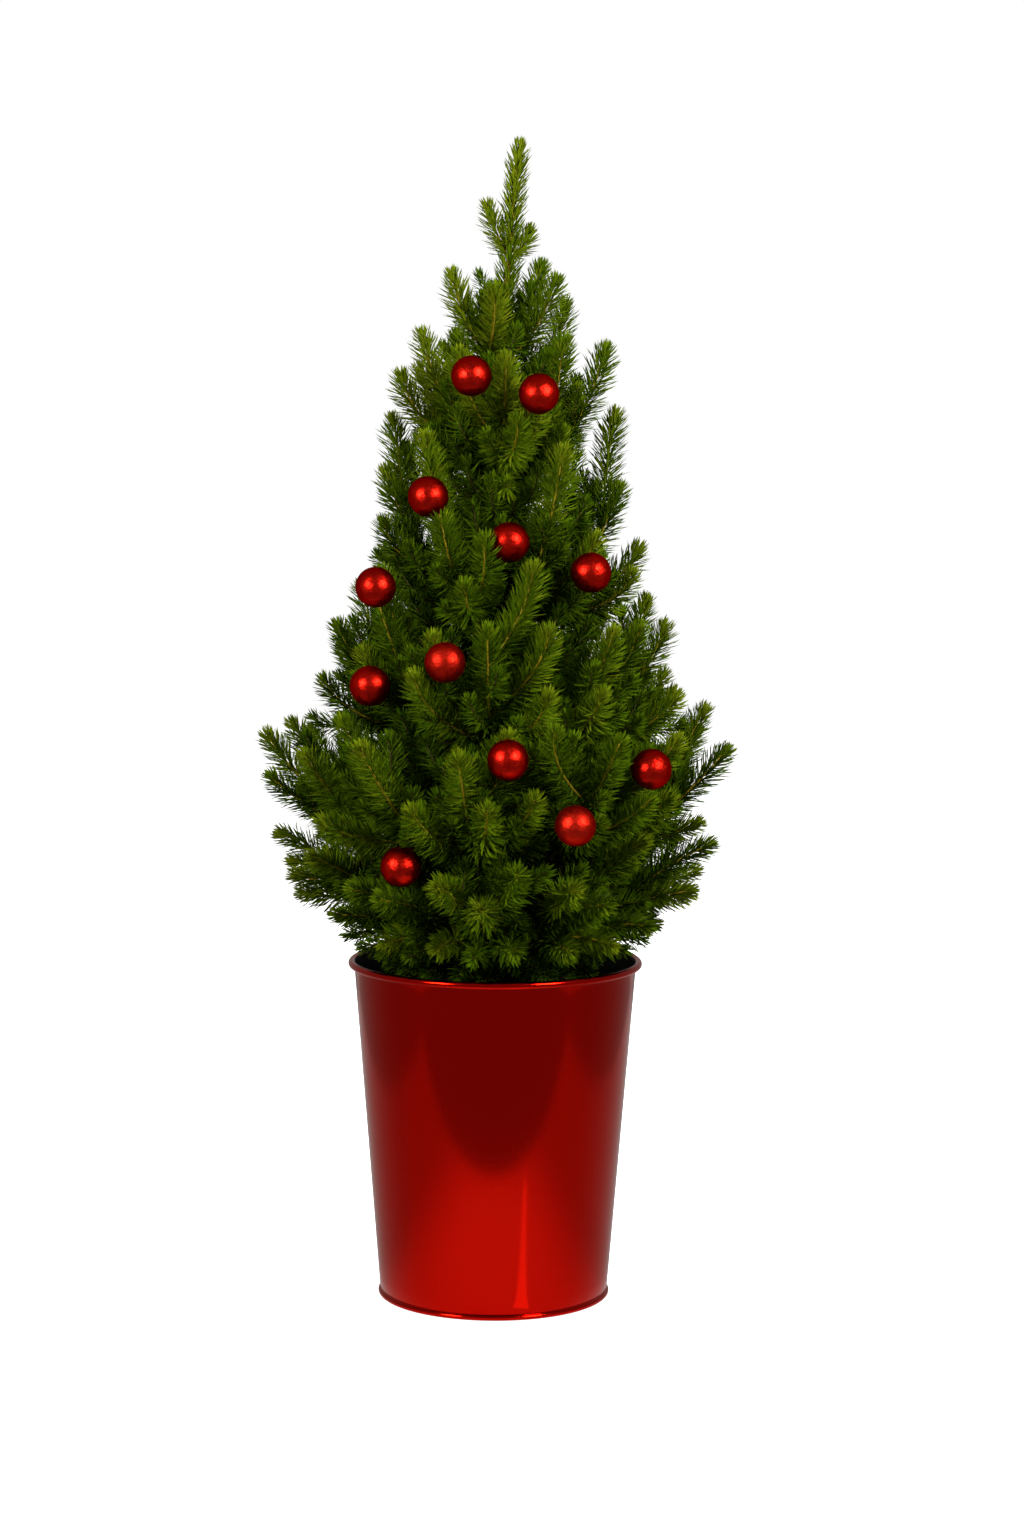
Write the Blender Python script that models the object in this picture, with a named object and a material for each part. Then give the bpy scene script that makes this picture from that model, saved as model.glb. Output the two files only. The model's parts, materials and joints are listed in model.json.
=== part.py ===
"""Potted Alberta spruce: a young cone-shaped conifer in a tapered red tin pot.

Metres, +Z up. The origin is the centre of the pot's flat underside. A heading is in degrees,
anticlockwise from +X seen from above, so 270 looks at the viewer and 0 is on the viewer's right.
The trunk runs whole from the soil to the top. Limbs leave it in tiers. The inner share of a limb
in the three low tiers is a bare bough. The outer share, and all of a limb higher up, is the stem
of a mass of needles, which carries side shoots. Every shoot is a slim core that needles stand
out of, and every needle stays nearer to its own shoot than to any other.
"""
import math
import random

import bmesh
import bpy
import numpy as np
from mathutils import Vector

MM = 0.001
GAP = 0.3 * MM

# Pot: a thin tin cone with a rolled rim and a seam bead round its foot
POT_HEIGHT = 204.5 * MM
POT_WALL_TOP_RADIUS = 85.2 * MM
POT_WALL_FOOT_RADIUS = 68.6 * MM
POT_WALL = 1.2 * MM
RIM_BEAD_RADIUS = 2.2 * MM
RIM_BEAD_RING = 86.3 * MM
RIM_TURNS = (-105, -50, 0, 45, 90, 150)
FOOT_BEAD_HEIGHT = 3.3 * MM
FOOT_BEAD_RADIUS = 69.9 * MM
FOOT_BEAD_EDGE = 0.8 * MM
POT_SEGMENTS = 44
POT_CREASE = math.radians(32)
WELD = 0.001 * MM

# Soil fills the pot to well below its rim, and mounds a little to the trunk
SOIL_LEVEL = 172.0 * MM
SOIL_EDGE_DROP = 3.0 * MM
SOIL_FLAT_RADIUS = 16.0 * MM
SOIL_SEGMENTS = 28

# Trunk: straight below, leaning towards +X near its tip
TREE_TOP = 688.0 * MM
TRUNK_TOP = 684.0 * MM
TRUNK_FOOT_RADIUS = 6.0 * MM
TRUNK_TIP_RADIUS = 0.9 * MM
TRUNK_LEAN = 12.0 * MM
LEAN_POWER = 5
ROOT_FLARE = 3.6 * MM
FLARE_HEIGHT = 7.0 * MM
TRUNK_SIDES = 10
TRUNK_RINGS = 13
LIMB_CREASE = math.radians(50)

# Crown: reach of the shoot tips by height, and how steeply a tip rises there (mm, degrees)
CROWN_REACH = ((208, 84), (235, 108), (265, 120), (330, 132), (360, 120), (410, 95), (460, 80),
               (535, 62), (575, 49), (620, 26), (660, 8))
CROWN_RISE = ((210, -18), (235, 2), (265, 15), (300, 38), (340, 56), (400, 70), (500, 77))

# Tier: height of the limbs on the trunk (mm), share of the limb that is bare bough,
# and the (heading, reach, height) in degrees and mm of each leading tip
TIERS = {
    "top": (551, 0.0, ((192, 28, 612), (341, 35, 609), (95, 28, 606))),
    "upper": (486, 0.0, ((194, 46, 577), (275, 52, 562), (351, 64, 569), (50, 52, 566), (130, 50, 570))),
    "middle": (402, 0.0, ((180, 66, 497), (246, 79, 471), (302, 71, 509), (354, 72, 488), (50, 73, 490),
                          (115, 75, 484))),
    "lower": (302, 0.40, ((178, 95, 405), (222, 93, 425), (267, 98, 408), (313, 98, 406), (4, 101, 405),
                          (57, 98, 412), (120, 98, 404))),
    "wide": (238, 0.42, ((185, 137, 340), (234, 130, 341), (261, 132, 338), (303, 129, 346),
                         (356, 137, 332), (55, 132, 343), (119, 131, 338))),
    "skirt": (195, 0.30, ((190, 121, 257), (237, 119, 254), (266, 118, 250), (303, 117, 252),
                          (347, 119, 250), (52, 119, 254), (117, 119, 252))),
}
FOOT_STAGGER = 9.0 * MM
SEATING_STEP = 0.1 * MM

# Side shoots whose tips show in the outline or face the viewer: (heading, reach, height)
SIDE_TIPS = ((18, 26, 618), (17, 41, 596), (262, 20, 603),
             (148, 30, 577), (186, 58, 553), (280, 67, 527), (5, 70, 531), (292, 56, 548),
             (197, 70, 467), (265, 82, 459), (284, 86, 443), (3, 84, 452), (220, 87, 439),
             (288, 97, 407), (8, 90, 420), (186, 103, 373), (352, 106, 367), (244, 106, 381),
             (303, 111, 372), (175, 123, 345), (4, 125, 355), (189, 135, 316), (285, 129, 352),
             (312, 131, 312), (181, 129, 280), (351, 129, 277), (354, 121, 289), (249, 131, 307),
             (268, 131, 309), (180, 122, 263), (185, 116, 245), (355, 116, 246), (254, 118, 263),
             (276, 122, 272), (293, 118, 261), (8, 122, 256), (228, 94, 224), (249, 92, 224),
             (277, 90, 222), (298, 91, 222), (318, 92, 223), (332, 102, 232), (202, 101, 236),
             (0, 96, 226), (30, 94, 226), (72, 94, 224), (98, 94, 226), (138, 94, 224), (165, 95, 226))
LEADER_FOOT = 567.0 * MM
LEADER_SIDE_TIPS = ((211, 8, 653), (29, 21, 639))
LEADER_SIDE_FOOT = 622.0 * MM
LEADER_COVER = 1.4 * MM

# More side shoots are spread evenly over the crown on a spiral
SPIRAL_TIPS = 170
SPIRAL_STEP = 137.508
SPIRAL_TOP = 600.0 * MM
SPIRAL_READINGS = 200
TIP_SPACING = 27.0 * MM
REACH_SPREAD = 0.12
CROWN_SEED = 41

LIMB_BEND = 0.5
SHOOT_BEND = 0.4
LINE_POINTS = 9
SIDE_SHOOT_MIN = 28.0 * MM
SIDE_SHOOT_MAX = 96.0 * MM
BEST_LENGTH = 62.0 * MM
WIDEST_FORK = math.radians(64)
FORK_COST = 60.0 * MM
CORE_CLEARANCE = 6.5 * MM
RIM_CLEARANCE = 4.5 * MM

BOUGH_ROOT_RADIUS = 2.4 * MM
BOUGH_TIP_RADIUS = 1.7 * MM
BOUGH_SIDES = 6
BOUGH_RINGS = 4

STEM_RADIUS = 2.3 * MM
SHOOT_RADIUS = 2.0 * MM
SHOOT_TIP_RADIUS = 1.3 * MM
SHOOT_SIDES = 3
LEADER_SIDES = 6
BUD = 2.5 * MM
BAND = 12.5 * MM
LEAST_BANDS = 3
NEEDLE_OUT = 11.0 * MM
NEEDLE_FORWARD = 8.0 * MM
TUFT_OUT = 3.5 * MM
TUFT_FORWARD = 6.0 * MM
NEEDLE_MARGIN = 0.5 * MM
NEEDLE_WIDTH = 1.7 * MM
NEEDLE_TESTS = (0.35, 0.7, 1.0)
NEEDLE_CLEARANCE = 1.5 * MM
FACES_TO_A_NEEDLE = 2


def place(heading, reach, height):
    """Point from its heading in degrees, its reach from the axis and its height in mm."""
    turn = math.radians(heading)
    return Vector((reach * math.cos(turn), reach * math.sin(turn), height)) * MM


def read_profile(profile, height):
    """Value of a profile, given in mm, at a height in metres."""
    heights, values = zip(*profile)
    return float(np.interp(height / MM, heights, values))


def trunk_centre(height):
    share = max(height - SOIL_LEVEL, 0.0) / (TREE_TOP - SOIL_LEVEL)
    return Vector((TRUNK_LEAN * share ** LEAN_POWER, 0.0, height))


def trunk_radius(height):
    rise = height - SOIL_LEVEL
    taper = (TRUNK_TIP_RADIUS - TRUNK_FOOT_RADIUS) * rise / (TRUNK_TOP - SOIL_LEVEL)
    return TRUNK_FOOT_RADIUS + taper + ROOT_FLARE * math.exp(-rise / FLARE_HEIGHT)


def tip_direction(tip):
    """Way a shoot points where it ends: outwards, and up as the height asks."""
    out = Vector((tip.x, tip.y, 0.0)) - trunk_centre(tip.z).to_2d().to_3d()
    rise = math.radians(read_profile(CROWN_RISE, tip.z))
    return out.normalized() * math.cos(rise) + Vector((0.0, 0.0, math.sin(rise)))


def arc(start, tip, bend_share, count):
    """Curve from start that swings round to end at tip along the tip's direction."""
    bend = tip - tip_direction(tip) * (tip - start).length * bend_share
    shares = [step / (count - 1) for step in range(count)]
    return [start * (1 - s) ** 2 + bend * (2 * s * (1 - s)) + tip * s * s for s in shares]


def part_of(line, first, last, count=LINE_POINTS):
    """Evenly spaced points of a curve between two shares of its length."""
    points = np.array([tuple(point) for point in line])
    along = np.concatenate(([0.0], np.cumsum(np.linalg.norm(np.diff(points, axis=0), axis=1))))
    wanted = np.linspace(first, last, count) * along[-1]
    columns = [np.interp(wanted, along, points[:, axis]) for axis in range(3)]
    return [Vector(point) for point in zip(*columns)]


def length_of(line):
    return sum((b - a).length for a, b in zip(line, line[1:]))


def distances(points, starts, ends):
    """Distance of each point from each straight stretch."""
    spots = np.asarray(points)[:, None, :]
    runs = ends - starts
    shares = np.clip(((spots - starts) * runs).sum(-1) / (runs * runs).sum(-1), 0.0, 1.0)
    return np.linalg.norm(spots - (starts + shares[..., None] * runs), axis=-1)


def stretches(lines):
    """Starts and ends of all the straight stretches of some lines."""
    starts = [tuple(point) for line in lines for point in line[:-1]]
    ends = [tuple(point) for line in lines for point in line[1:]]
    return np.array(starts), np.array(ends)


class Shoot:
    """A line that needles stand round, in the mass that owns it."""

    def __init__(self, mass, line, root_radius, parent=None):
        self.mass = mass
        self.line = line
        self.root_radius = root_radius
        self.parent = parent


class Crown:
    """All limbs and shoots of the tree, and the tests that keep them apart."""

    def __init__(self):
        self.boughs = []
        self.shoots = []

    def is_clear(self, line, parent):
        """True where a new side shoot keeps off every limb, shoot and the pot."""
        outer = line[2:]
        if any(not above_pot(point, RIM_CLEARANCE) for point in outer):
            return False
        trunk_gap = min((point - trunk_centre(point.z)).length - trunk_radius(point.z) for point in outer)
        if trunk_gap < CORE_CLEARANCE:
            return False
        others = [shoot.line for shoot in self.shoots if shoot is not parent]
        others += [bough for _, bough in self.boughs]
        if distances(outer, *stretches(others)).min() < CORE_CLEARANCE:
            return False
        return distances(outer[2:], *stretches([parent.line])).min() >= CORE_CLEARANCE

    def join(self, tip):
        """Grow a side shoot to a tip from the stem that reaches it best."""
        choices = []
        for stem in [shoot for shoot in self.shoots if shoot.parent is None and shoot.mass != "leader"]:
            for index in range(1, LINE_POINTS - 2):
                start = stem.line[index]
                length = (tip - start).length
                if not SIDE_SHOOT_MIN <= length <= SIDE_SHOOT_MAX:
                    continue
                line = arc(start, tip, SHOOT_BEND, LINE_POINTS)
                fork = (line[1] - line[0]).angle(stem.line[index + 1] - start)
                if fork <= WIDEST_FORK:
                    cost = abs(length - BEST_LENGTH) + FORK_COST * fork
                    choices.append((cost, len(choices), stem, line))
        for _, _, stem, line in sorted(choices, key=lambda choice: choice[:2]):
            if self.is_clear(line, stem):
                self.shoots.append(Shoot(stem.mass, line, SHOOT_RADIUS, stem))
                return True
        return False


def above_pot(point, clearance):
    """True for a point clear of the pot's rim and wall and of the soil."""
    reach = math.hypot(point.x, point.y)
    inside = reach < POT_WALL_TOP_RADIUS - POT_WALL - clearance
    return point.z > (SOIL_LEVEL if inside else POT_HEIGHT) + clearance


def seated_start(line, root_radius):
    """How far along its line a limb begins for its root to just clear the trunk."""
    length = length_of(line)
    for reach in np.arange(trunk_radius(line[0].z), SIDE_SHOOT_MIN, SEATING_STEP):
        point, beyond = part_of(line, reach / length, (reach + root_radius) / length, 2)
        ahead = (beyond - point).normalized()
        inner = point + (Vector((0.0, 0.0, 1.0)) - ahead * ahead.z).normalized() * root_radius
        if (inner - trunk_centre(inner.z)).length >= trunk_radius(inner.z) + GAP:
            return reach
    return SIDE_SHOOT_MIN


def grow_leads(crown):
    """The leader, and each tier's limbs as a bare bough and the stem of its mass."""
    heights = np.linspace(LEADER_FOOT, TREE_TOP, LINE_POINTS)
    leader = Shoot("leader", [trunk_centre(height) for height in heights], None)
    crown.shoots.append(leader)
    for tip in LEADER_SIDE_TIPS:
        line = arc(trunk_centre(LEADER_SIDE_FOOT), place(*tip), SHOOT_BEND, LINE_POINTS)
        crown.shoots.append(Shoot("leader", line, SHOOT_RADIUS, leader))
    for tier, (foot, bare_share, tips) in TIERS.items():
        for number, tip in enumerate(tips, 1):
            height = foot * MM + FOOT_STAGGER * (number % 3 - 1)
            end = place(*tip)
            line = arc(trunk_centre(height), end, LIMB_BEND, 2 * LINE_POINTS)
            length = length_of(line)
            start = seated_start(line, BOUGH_ROOT_RADIUS if bare_share else STEM_RADIUS)
            if bare_share:
                crown.boughs.append((f"bough_{tier}_{number}", part_of(line, start / length, bare_share)))
                start = bare_share * length + GAP
            stem = part_of(line, start / length, 1.0)
            crown.shoots.append(Shoot(f"{tier}_{number}", stem, STEM_RADIUS))


def spiral_tips(rng):
    """Tips spread over the crown's surface with even spacing, from the top down."""
    heights = np.linspace(SPIRAL_TOP, CROWN_REACH[0][0] * MM, SPIRAL_READINGS)
    reaches = np.array([read_profile(CROWN_REACH, height) * MM for height in heights])
    slants = np.hypot(np.diff(heights), np.diff(reaches))
    areas = np.concatenate(([0.0], np.cumsum(slants * (reaches[1:] + reaches[:-1]))))
    for number in range(SPIRAL_TIPS):
        height = float(np.interp((number + 0.5) / SPIRAL_TIPS * areas[-1], areas, heights))
        reach = read_profile(CROWN_REACH, height) * (1.0 - REACH_SPREAD * rng.random())
        yield place(number * SPIRAL_STEP, reach, height / MM)


def grow_crown():
    crown = Crown()
    grow_leads(crown)
    rng = random.Random(CROWN_SEED)
    tips = [place(*tip) for tip in SIDE_TIPS] + list(spiral_tips(rng))
    for number, tip in enumerate(tips):
        crowded = min((shoot.line[-1] - tip).length for shoot in crown.shoots) < TIP_SPACING
        if number < len(SIDE_TIPS) or not crowded:
            crown.join(tip)
    return crown


def rings(line, radii, sides, twist):
    """Rings of points square to a line, each turned by a twist from the one before."""
    found = []
    side = Vector((0.0, 0.0, 1.0)) + (line[1] - line[0]).orthogonal().normalized() * WELD
    for number, point in enumerate(line):
        ahead = (line[min(number + 1, len(line) - 1)] - line[max(number - 1, 0)]).normalized()
        side = (side - ahead * side.dot(ahead)).normalized()
        across = ahead.cross(side)
        turns = [math.tau * step / sides + twist * number for step in range(sides)]
        found.append([point + (side * math.cos(t) + across * math.sin(t)) * radii[number] for t in turns])
    return found


def make_object(name, verts, faces, material):
    """Object with the given faces, all turned to point out."""
    mesh = bpy.data.meshes.new(name)
    mesh.from_pydata([tuple(vert) for vert in verts], [], faces)
    shape = bmesh.new()
    shape.from_mesh(mesh)
    bmesh.ops.recalc_face_normals(shape, faces=shape.faces)
    shape.to_mesh(mesh)
    shape.free()
    mesh.materials.append(material)
    piece = bpy.data.objects.new(name, mesh)
    bpy.context.scene.collection.objects.link(piece)
    return piece


def limb(name, loops, material):
    """Closed limb through rings of points, with flat ends."""
    sides = len(loops[0])
    verts = [vert for loop in loops for vert in loop]
    faces = [tuple(range(sides)), tuple(range(len(verts) - sides, len(verts)))]
    for a in range(len(verts) - sides):
        b = a + 1 if (a + 1) % sides else a + 1 - sides
        faces.append((a, b, b + sides, a + sides))
    piece = make_object(name, verts, faces, material)
    piece.data.shade_smooth()
    piece.data.set_sharp_from_angle(angle=LIMB_CREASE)
    return piece


def core_faces(loops, bud):
    """Points and three-cornered faces of a twisted core that ends in a bud."""
    sides = len(loops[0])
    verts = [vert for loop in loops for vert in loop] + [bud]
    faces = []
    for ring in range(len(loops) - 1):
        for step in range(sides):
            a = ring * sides + step
            b = ring * sides + (step + 1) % sides
            faces.append((a, b, a + sides))
            faces.append((b, b + sides, a + sides))
    last = (len(loops) - 1) * sides
    ends = [(last + step, last + (step + 1) % sides, len(verts) - 1) for step in range(sides)]
    return verts, faces, ends


class NeedleRoom:
    """Tells which needles of a shoot keep to the space of that shoot."""

    def __init__(self, crown, shoot):
        others = [other.line for other in crown.shoots if other is not shoot]
        self.own = stretches([shoot.line])
        self.others = stretches(others)
        self.boughs = stretches([line for _, line in crown.boughs])
        self.on_leader = shoot.mass == "leader" and shoot.parent is None

    def has(self, root, tip):
        spots = [root.lerp(tip, share) for share in NEEDLE_TESTS]
        if any(not above_pot(spot, NEEDLE_CLEARANCE) for spot in spots):
            return False
        if not self.on_leader:
            gaps = [(spot - trunk_centre(spot.z)).length - trunk_radius(spot.z) for spot in spots]
            if min(gaps) < NEEDLE_WIDTH + LEADER_COVER:
                return False
        if distances(spots, *self.boughs).min() < BOUGH_ROOT_RADIUS + NEEDLE_WIDTH:
            return False
        own = distances(spots, *self.own).min(axis=1)
        nearest = distances(spots, *self.others).min(axis=1)
        widths = [NEEDLE_MARGIN + NEEDLE_WIDTH * (1 - share) for share in NEEDLE_TESTS]
        return all(other - mine > 2 * width for other, mine, width in zip(nearest, own, widths))


def spray(name, shoot, crown, core_line, radii, sides, material):
    """One shoot: a slim core, and needles drawn out of most of its faces."""
    bands = len(core_line) - 1
    loops = rings(core_line, radii, sides, math.pi / sides)
    bud = core_line[-1] + (core_line[-1] - core_line[-2]).normalized() * BUD
    verts, faces, ends = core_faces(loops, bud)
    room = NeedleRoom(crown, shoot)
    bare = 2 * sides if shoot.parent else sides
    solid = [tuple(range(sides))]
    for number, face in enumerate(faces + ends):
        at_end = number >= len(faces)
        centre = sum((verts[index] for index in face), Vector()) / 3
        band = min(number // (2 * sides), bands - 1)
        forward = (core_line[band + 1] - core_line[band]).normalized()
        middle = core_line[band] + forward * (centre - core_line[band]).dot(forward)
        out = (centre - middle).normalized()
        reach = (TUFT_OUT, TUFT_FORWARD) if at_end else (NEEDLE_OUT, NEEDLE_FORWARD)
        tip = centre + out * reach[0] + forward * reach[1]
        wanted = at_end or (number >= bare and number % FACES_TO_A_NEEDLE)
        if wanted and room.has(centre, tip):
            verts.append(tip)
            point = len(verts) - 1
            solid += [(face[0], face[1], point), (face[1], face[2], point), (face[2], face[0], point)]
        else:
            solid.append(face)
    return make_object(name, verts, solid, material)


def shoot_spray(name, shoot, crown, material):
    """Spray of a shoot: a sleeve round the trunk's tip, a slim core elsewhere."""
    bands = max(LEAST_BANDS, round(length_of(shoot.line) / BAND))
    core_line = part_of(shoot.line, 0.0, 1.0, bands + 1)
    if shoot.mass == "leader" and shoot.parent is None:
        radii = [trunk_radius(point.z) + LEADER_COVER for point in core_line]
        return spray(name, shoot, crown, core_line, radii, LEADER_SIDES, material)
    radii = np.linspace(shoot.root_radius, SHOOT_TIP_RADIUS, bands + 1)
    return spray(name, shoot, crown, core_line, radii, SHOOT_SIDES, material)


def apply_boolean(piece, operation, **operand):
    """Join to, or cut by, another object or a collection, and apply it."""
    modifier = piece.modifiers.new(operation.lower(), "BOOLEAN")
    modifier.operation = operation
    modifier.solver = "EXACT"
    for key, value in operand.items():
        setattr(modifier, key, value)
    bpy.context.view_layer.objects.active = piece
    bpy.ops.object.modifier_apply(modifier=modifier.name)


def keep_largest(piece):
    """Drop any loose scrap that the cut has left beside the main body."""
    shape = bmesh.new()
    shape.from_mesh(piece.data)
    left = set(shape.verts)
    bodies = []
    while left:
        body = [left.pop()]
        for vert in body:
            near = [edge.other_vert(vert) for edge in vert.link_edges]
            fresh = [other for other in near if other in left]
            left.difference_update(fresh)
            body.extend(fresh)
        bodies.append(body)
    bodies.sort(key=len)
    for scrap in bodies[:-1]:
        bmesh.ops.delete(shape, geom=scrap, context="VERTS")
    shape.to_mesh(piece.data)
    shape.free()


def make_mass(mass, crown, material):
    """All sprays of one mass, fused into one solid."""
    shoots = [shoot for shoot in crown.shoots if shoot.mass == mass]
    pieces = [shoot_spray(f"{mass}_{number}", shoot, crown, material) for number, shoot in enumerate(shoots)]
    whole = pieces[0]
    whole.name = f"needles_{mass}"
    if len(pieces) > 1:
        sides = bpy.data.collections.new(mass)
        for piece in pieces[1:]:
            bpy.context.scene.collection.objects.unlink(piece)
            sides.objects.link(piece)
        bpy.context.scene.collection.children.link(sides)
        apply_boolean(whole, "UNION", operand_type="COLLECTION", collection=sides)
        for piece in pieces[1:]:
            bpy.data.objects.remove(piece)
        bpy.data.collections.remove(sides)
    if mass == "leader":
        cutter = make_trunk("trunk_cutter", GAP, material)
        apply_boolean(whole, "DIFFERENCE", operand_type="OBJECT", object=cutter)
        bpy.data.objects.remove(cutter)
    keep_largest(whole)
    return whole


def make_trunk(name, grown, material):
    """Trunk with its facets moved out by a margin."""
    foot = SOIL_LEVEL + GAP
    above_flare = np.linspace(foot + 3 * FLARE_HEIGHT, TRUNK_TOP + grown, TRUNK_RINGS - 2)
    loops = []
    for height in (foot, foot + FLARE_HEIGHT, *above_flare):
        radius = trunk_radius(height) + grown / math.cos(math.pi / TRUNK_SIDES)
        turns = [math.tau * step / TRUNK_SIDES for step in range(TRUNK_SIDES)]
        centre = trunk_centre(height)
        loops.append([centre + Vector((math.cos(t), math.sin(t), 0.0)) * radius for t in turns])
    return limb(name, loops, material)


def turned(name, outline, segments, material):
    """Solid spun round the vertical axis from an outline that starts and ends on it."""
    shape = bmesh.new()
    verts = [shape.verts.new((radius, 0.0, height)) for radius, height in outline]
    edges = [shape.edges.new(pair) for pair in zip(verts, verts[1:])]
    bmesh.ops.spin(shape, geom=verts + edges, cent=(0, 0, 0), axis=(0, 0, 1), angle=math.tau,
                   steps=segments, use_merge=True)
    bmesh.ops.remove_doubles(shape, verts=shape.verts, dist=WELD)
    bmesh.ops.recalc_face_normals(shape, faces=shape.faces)
    mesh = bpy.data.meshes.new(name)
    shape.to_mesh(mesh)
    shape.free()
    mesh.shade_smooth()
    mesh.set_sharp_from_angle(angle=POT_CREASE)
    mesh.materials.append(material)
    piece = bpy.data.objects.new(name, mesh)
    bpy.context.scene.collection.objects.link(piece)
    return piece


def wall_radius(height):
    """Outside radius of the pot's straight wall."""
    share = height / POT_HEIGHT
    return POT_WALL_FOOT_RADIUS + (POT_WALL_TOP_RADIUS - POT_WALL_FOOT_RADIUS) * share


def make_pot(material):
    rim_centre = POT_HEIGHT - RIM_BEAD_RADIUS
    outline = [(0.0, 0.0), (FOOT_BEAD_RADIUS - FOOT_BEAD_EDGE, 0.0), (FOOT_BEAD_RADIUS, FOOT_BEAD_EDGE),
               (FOOT_BEAD_RADIUS, FOOT_BEAD_HEIGHT - FOOT_BEAD_EDGE),
               (wall_radius(FOOT_BEAD_HEIGHT), FOOT_BEAD_HEIGHT)]
    for turn in RIM_TURNS:
        angle = math.radians(turn)
        outline.append((RIM_BEAD_RING + RIM_BEAD_RADIUS * math.cos(angle),
                        rim_centre + RIM_BEAD_RADIUS * math.sin(angle)))
    outline += [(wall_radius(rim_centre) - POT_WALL, rim_centre - RIM_BEAD_RADIUS),
                (wall_radius(POT_WALL) - POT_WALL, POT_WALL), (0.0, POT_WALL)]
    return turned("pot", outline, POT_SEGMENTS, material)


def make_soil(material):
    foot = POT_WALL + GAP
    inset = POT_WALL + 2 * GAP
    edge = SOIL_LEVEL - SOIL_EDGE_DROP
    outline = [(0.0, foot), (wall_radius(foot) - inset, foot), (wall_radius(edge) - inset, edge),
               ((SOIL_FLAT_RADIUS + wall_radius(edge)) / 2, SOIL_LEVEL - SOIL_EDGE_DROP / 2),
               (SOIL_FLAT_RADIUS, SOIL_LEVEL), (0.0, SOIL_LEVEL)]
    return turned("soil", outline, SOIL_SEGMENTS, material)


def make_material(name, colour, roughness, metallic=0.0):
    material = bpy.data.materials.new(name)
    material.use_nodes = True
    shader = material.node_tree.nodes["Principled BSDF"]
    shader.inputs["Base Color"].default_value = (*colour, 1.0)
    shader.inputs["Roughness"].default_value = roughness
    shader.inputs["Metallic"].default_value = metallic
    return material


def main():
    for old in list(bpy.data.objects):
        bpy.data.objects.remove(old)
    tin = make_material("red_tin", (0.42, 0.008, 0.006), 0.25, 0.9)
    earth = make_material("soil", (0.035, 0.022, 0.014), 0.95)
    bark = make_material("bark", (0.13, 0.085, 0.045), 0.85)
    needle = make_material("needles", (0.07, 0.14, 0.02), 0.5)
    make_pot(tin)
    make_soil(earth)
    make_trunk("trunk", 0.0, bark)
    crown = grow_crown()
    radii = np.linspace(BOUGH_ROOT_RADIUS, BOUGH_TIP_RADIUS, BOUGH_RINGS)
    for name, line in crown.boughs:
        limb(name, rings(part_of(line, 0.0, 1.0, BOUGH_RINGS), radii, BOUGH_SIDES, 0.0), bark)
    for mass in dict.fromkeys(shoot.mass for shoot in crown.shoots):
        make_mass(mass, crown, needle)


main()
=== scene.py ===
# %% [markdown]
# A young Alberta spruce in a red tin pot, dressed with small red baubles. The solid model of the
# plant comes in first and stays put: its trunk, boughs, pot and soil say where everything is.
# Lengths are metres, but the tables of tips and the pot's outline are written in millimetres. A
# heading is in degrees, anticlockwise from the viewer's right as seen from above, so 270 looks at
# the viewer.
# %% Load the solid model
import json
import math
import random
import bpy
import numpy as np
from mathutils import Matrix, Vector

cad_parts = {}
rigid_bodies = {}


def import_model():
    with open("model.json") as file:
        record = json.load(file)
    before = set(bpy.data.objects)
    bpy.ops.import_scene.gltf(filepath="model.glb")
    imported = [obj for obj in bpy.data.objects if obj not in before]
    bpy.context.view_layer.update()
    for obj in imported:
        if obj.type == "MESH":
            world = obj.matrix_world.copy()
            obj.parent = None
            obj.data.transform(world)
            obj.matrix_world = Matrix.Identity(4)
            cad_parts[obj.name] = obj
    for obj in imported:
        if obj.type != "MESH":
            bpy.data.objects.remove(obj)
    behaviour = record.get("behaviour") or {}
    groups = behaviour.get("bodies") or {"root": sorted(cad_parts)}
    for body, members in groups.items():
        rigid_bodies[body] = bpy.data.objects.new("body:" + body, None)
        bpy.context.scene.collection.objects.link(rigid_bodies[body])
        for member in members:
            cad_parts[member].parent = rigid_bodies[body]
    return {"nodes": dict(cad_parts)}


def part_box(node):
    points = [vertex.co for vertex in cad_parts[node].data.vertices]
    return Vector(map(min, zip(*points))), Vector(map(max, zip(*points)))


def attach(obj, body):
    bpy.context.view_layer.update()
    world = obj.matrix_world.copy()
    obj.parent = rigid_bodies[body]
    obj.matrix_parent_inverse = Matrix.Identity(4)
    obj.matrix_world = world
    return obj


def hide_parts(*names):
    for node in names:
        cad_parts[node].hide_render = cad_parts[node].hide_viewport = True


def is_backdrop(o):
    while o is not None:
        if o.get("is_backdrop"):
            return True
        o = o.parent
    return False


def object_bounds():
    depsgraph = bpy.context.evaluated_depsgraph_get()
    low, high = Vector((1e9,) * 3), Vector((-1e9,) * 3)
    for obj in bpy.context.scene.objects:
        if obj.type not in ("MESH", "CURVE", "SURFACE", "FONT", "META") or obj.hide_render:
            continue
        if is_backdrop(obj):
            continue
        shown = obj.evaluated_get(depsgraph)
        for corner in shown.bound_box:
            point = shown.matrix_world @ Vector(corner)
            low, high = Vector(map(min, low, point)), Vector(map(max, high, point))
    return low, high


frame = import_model()
SOLID_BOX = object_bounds()
MM = 0.001
node_names = list(frame["nodes"])
print("solid nodes:", len(node_names))

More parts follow.
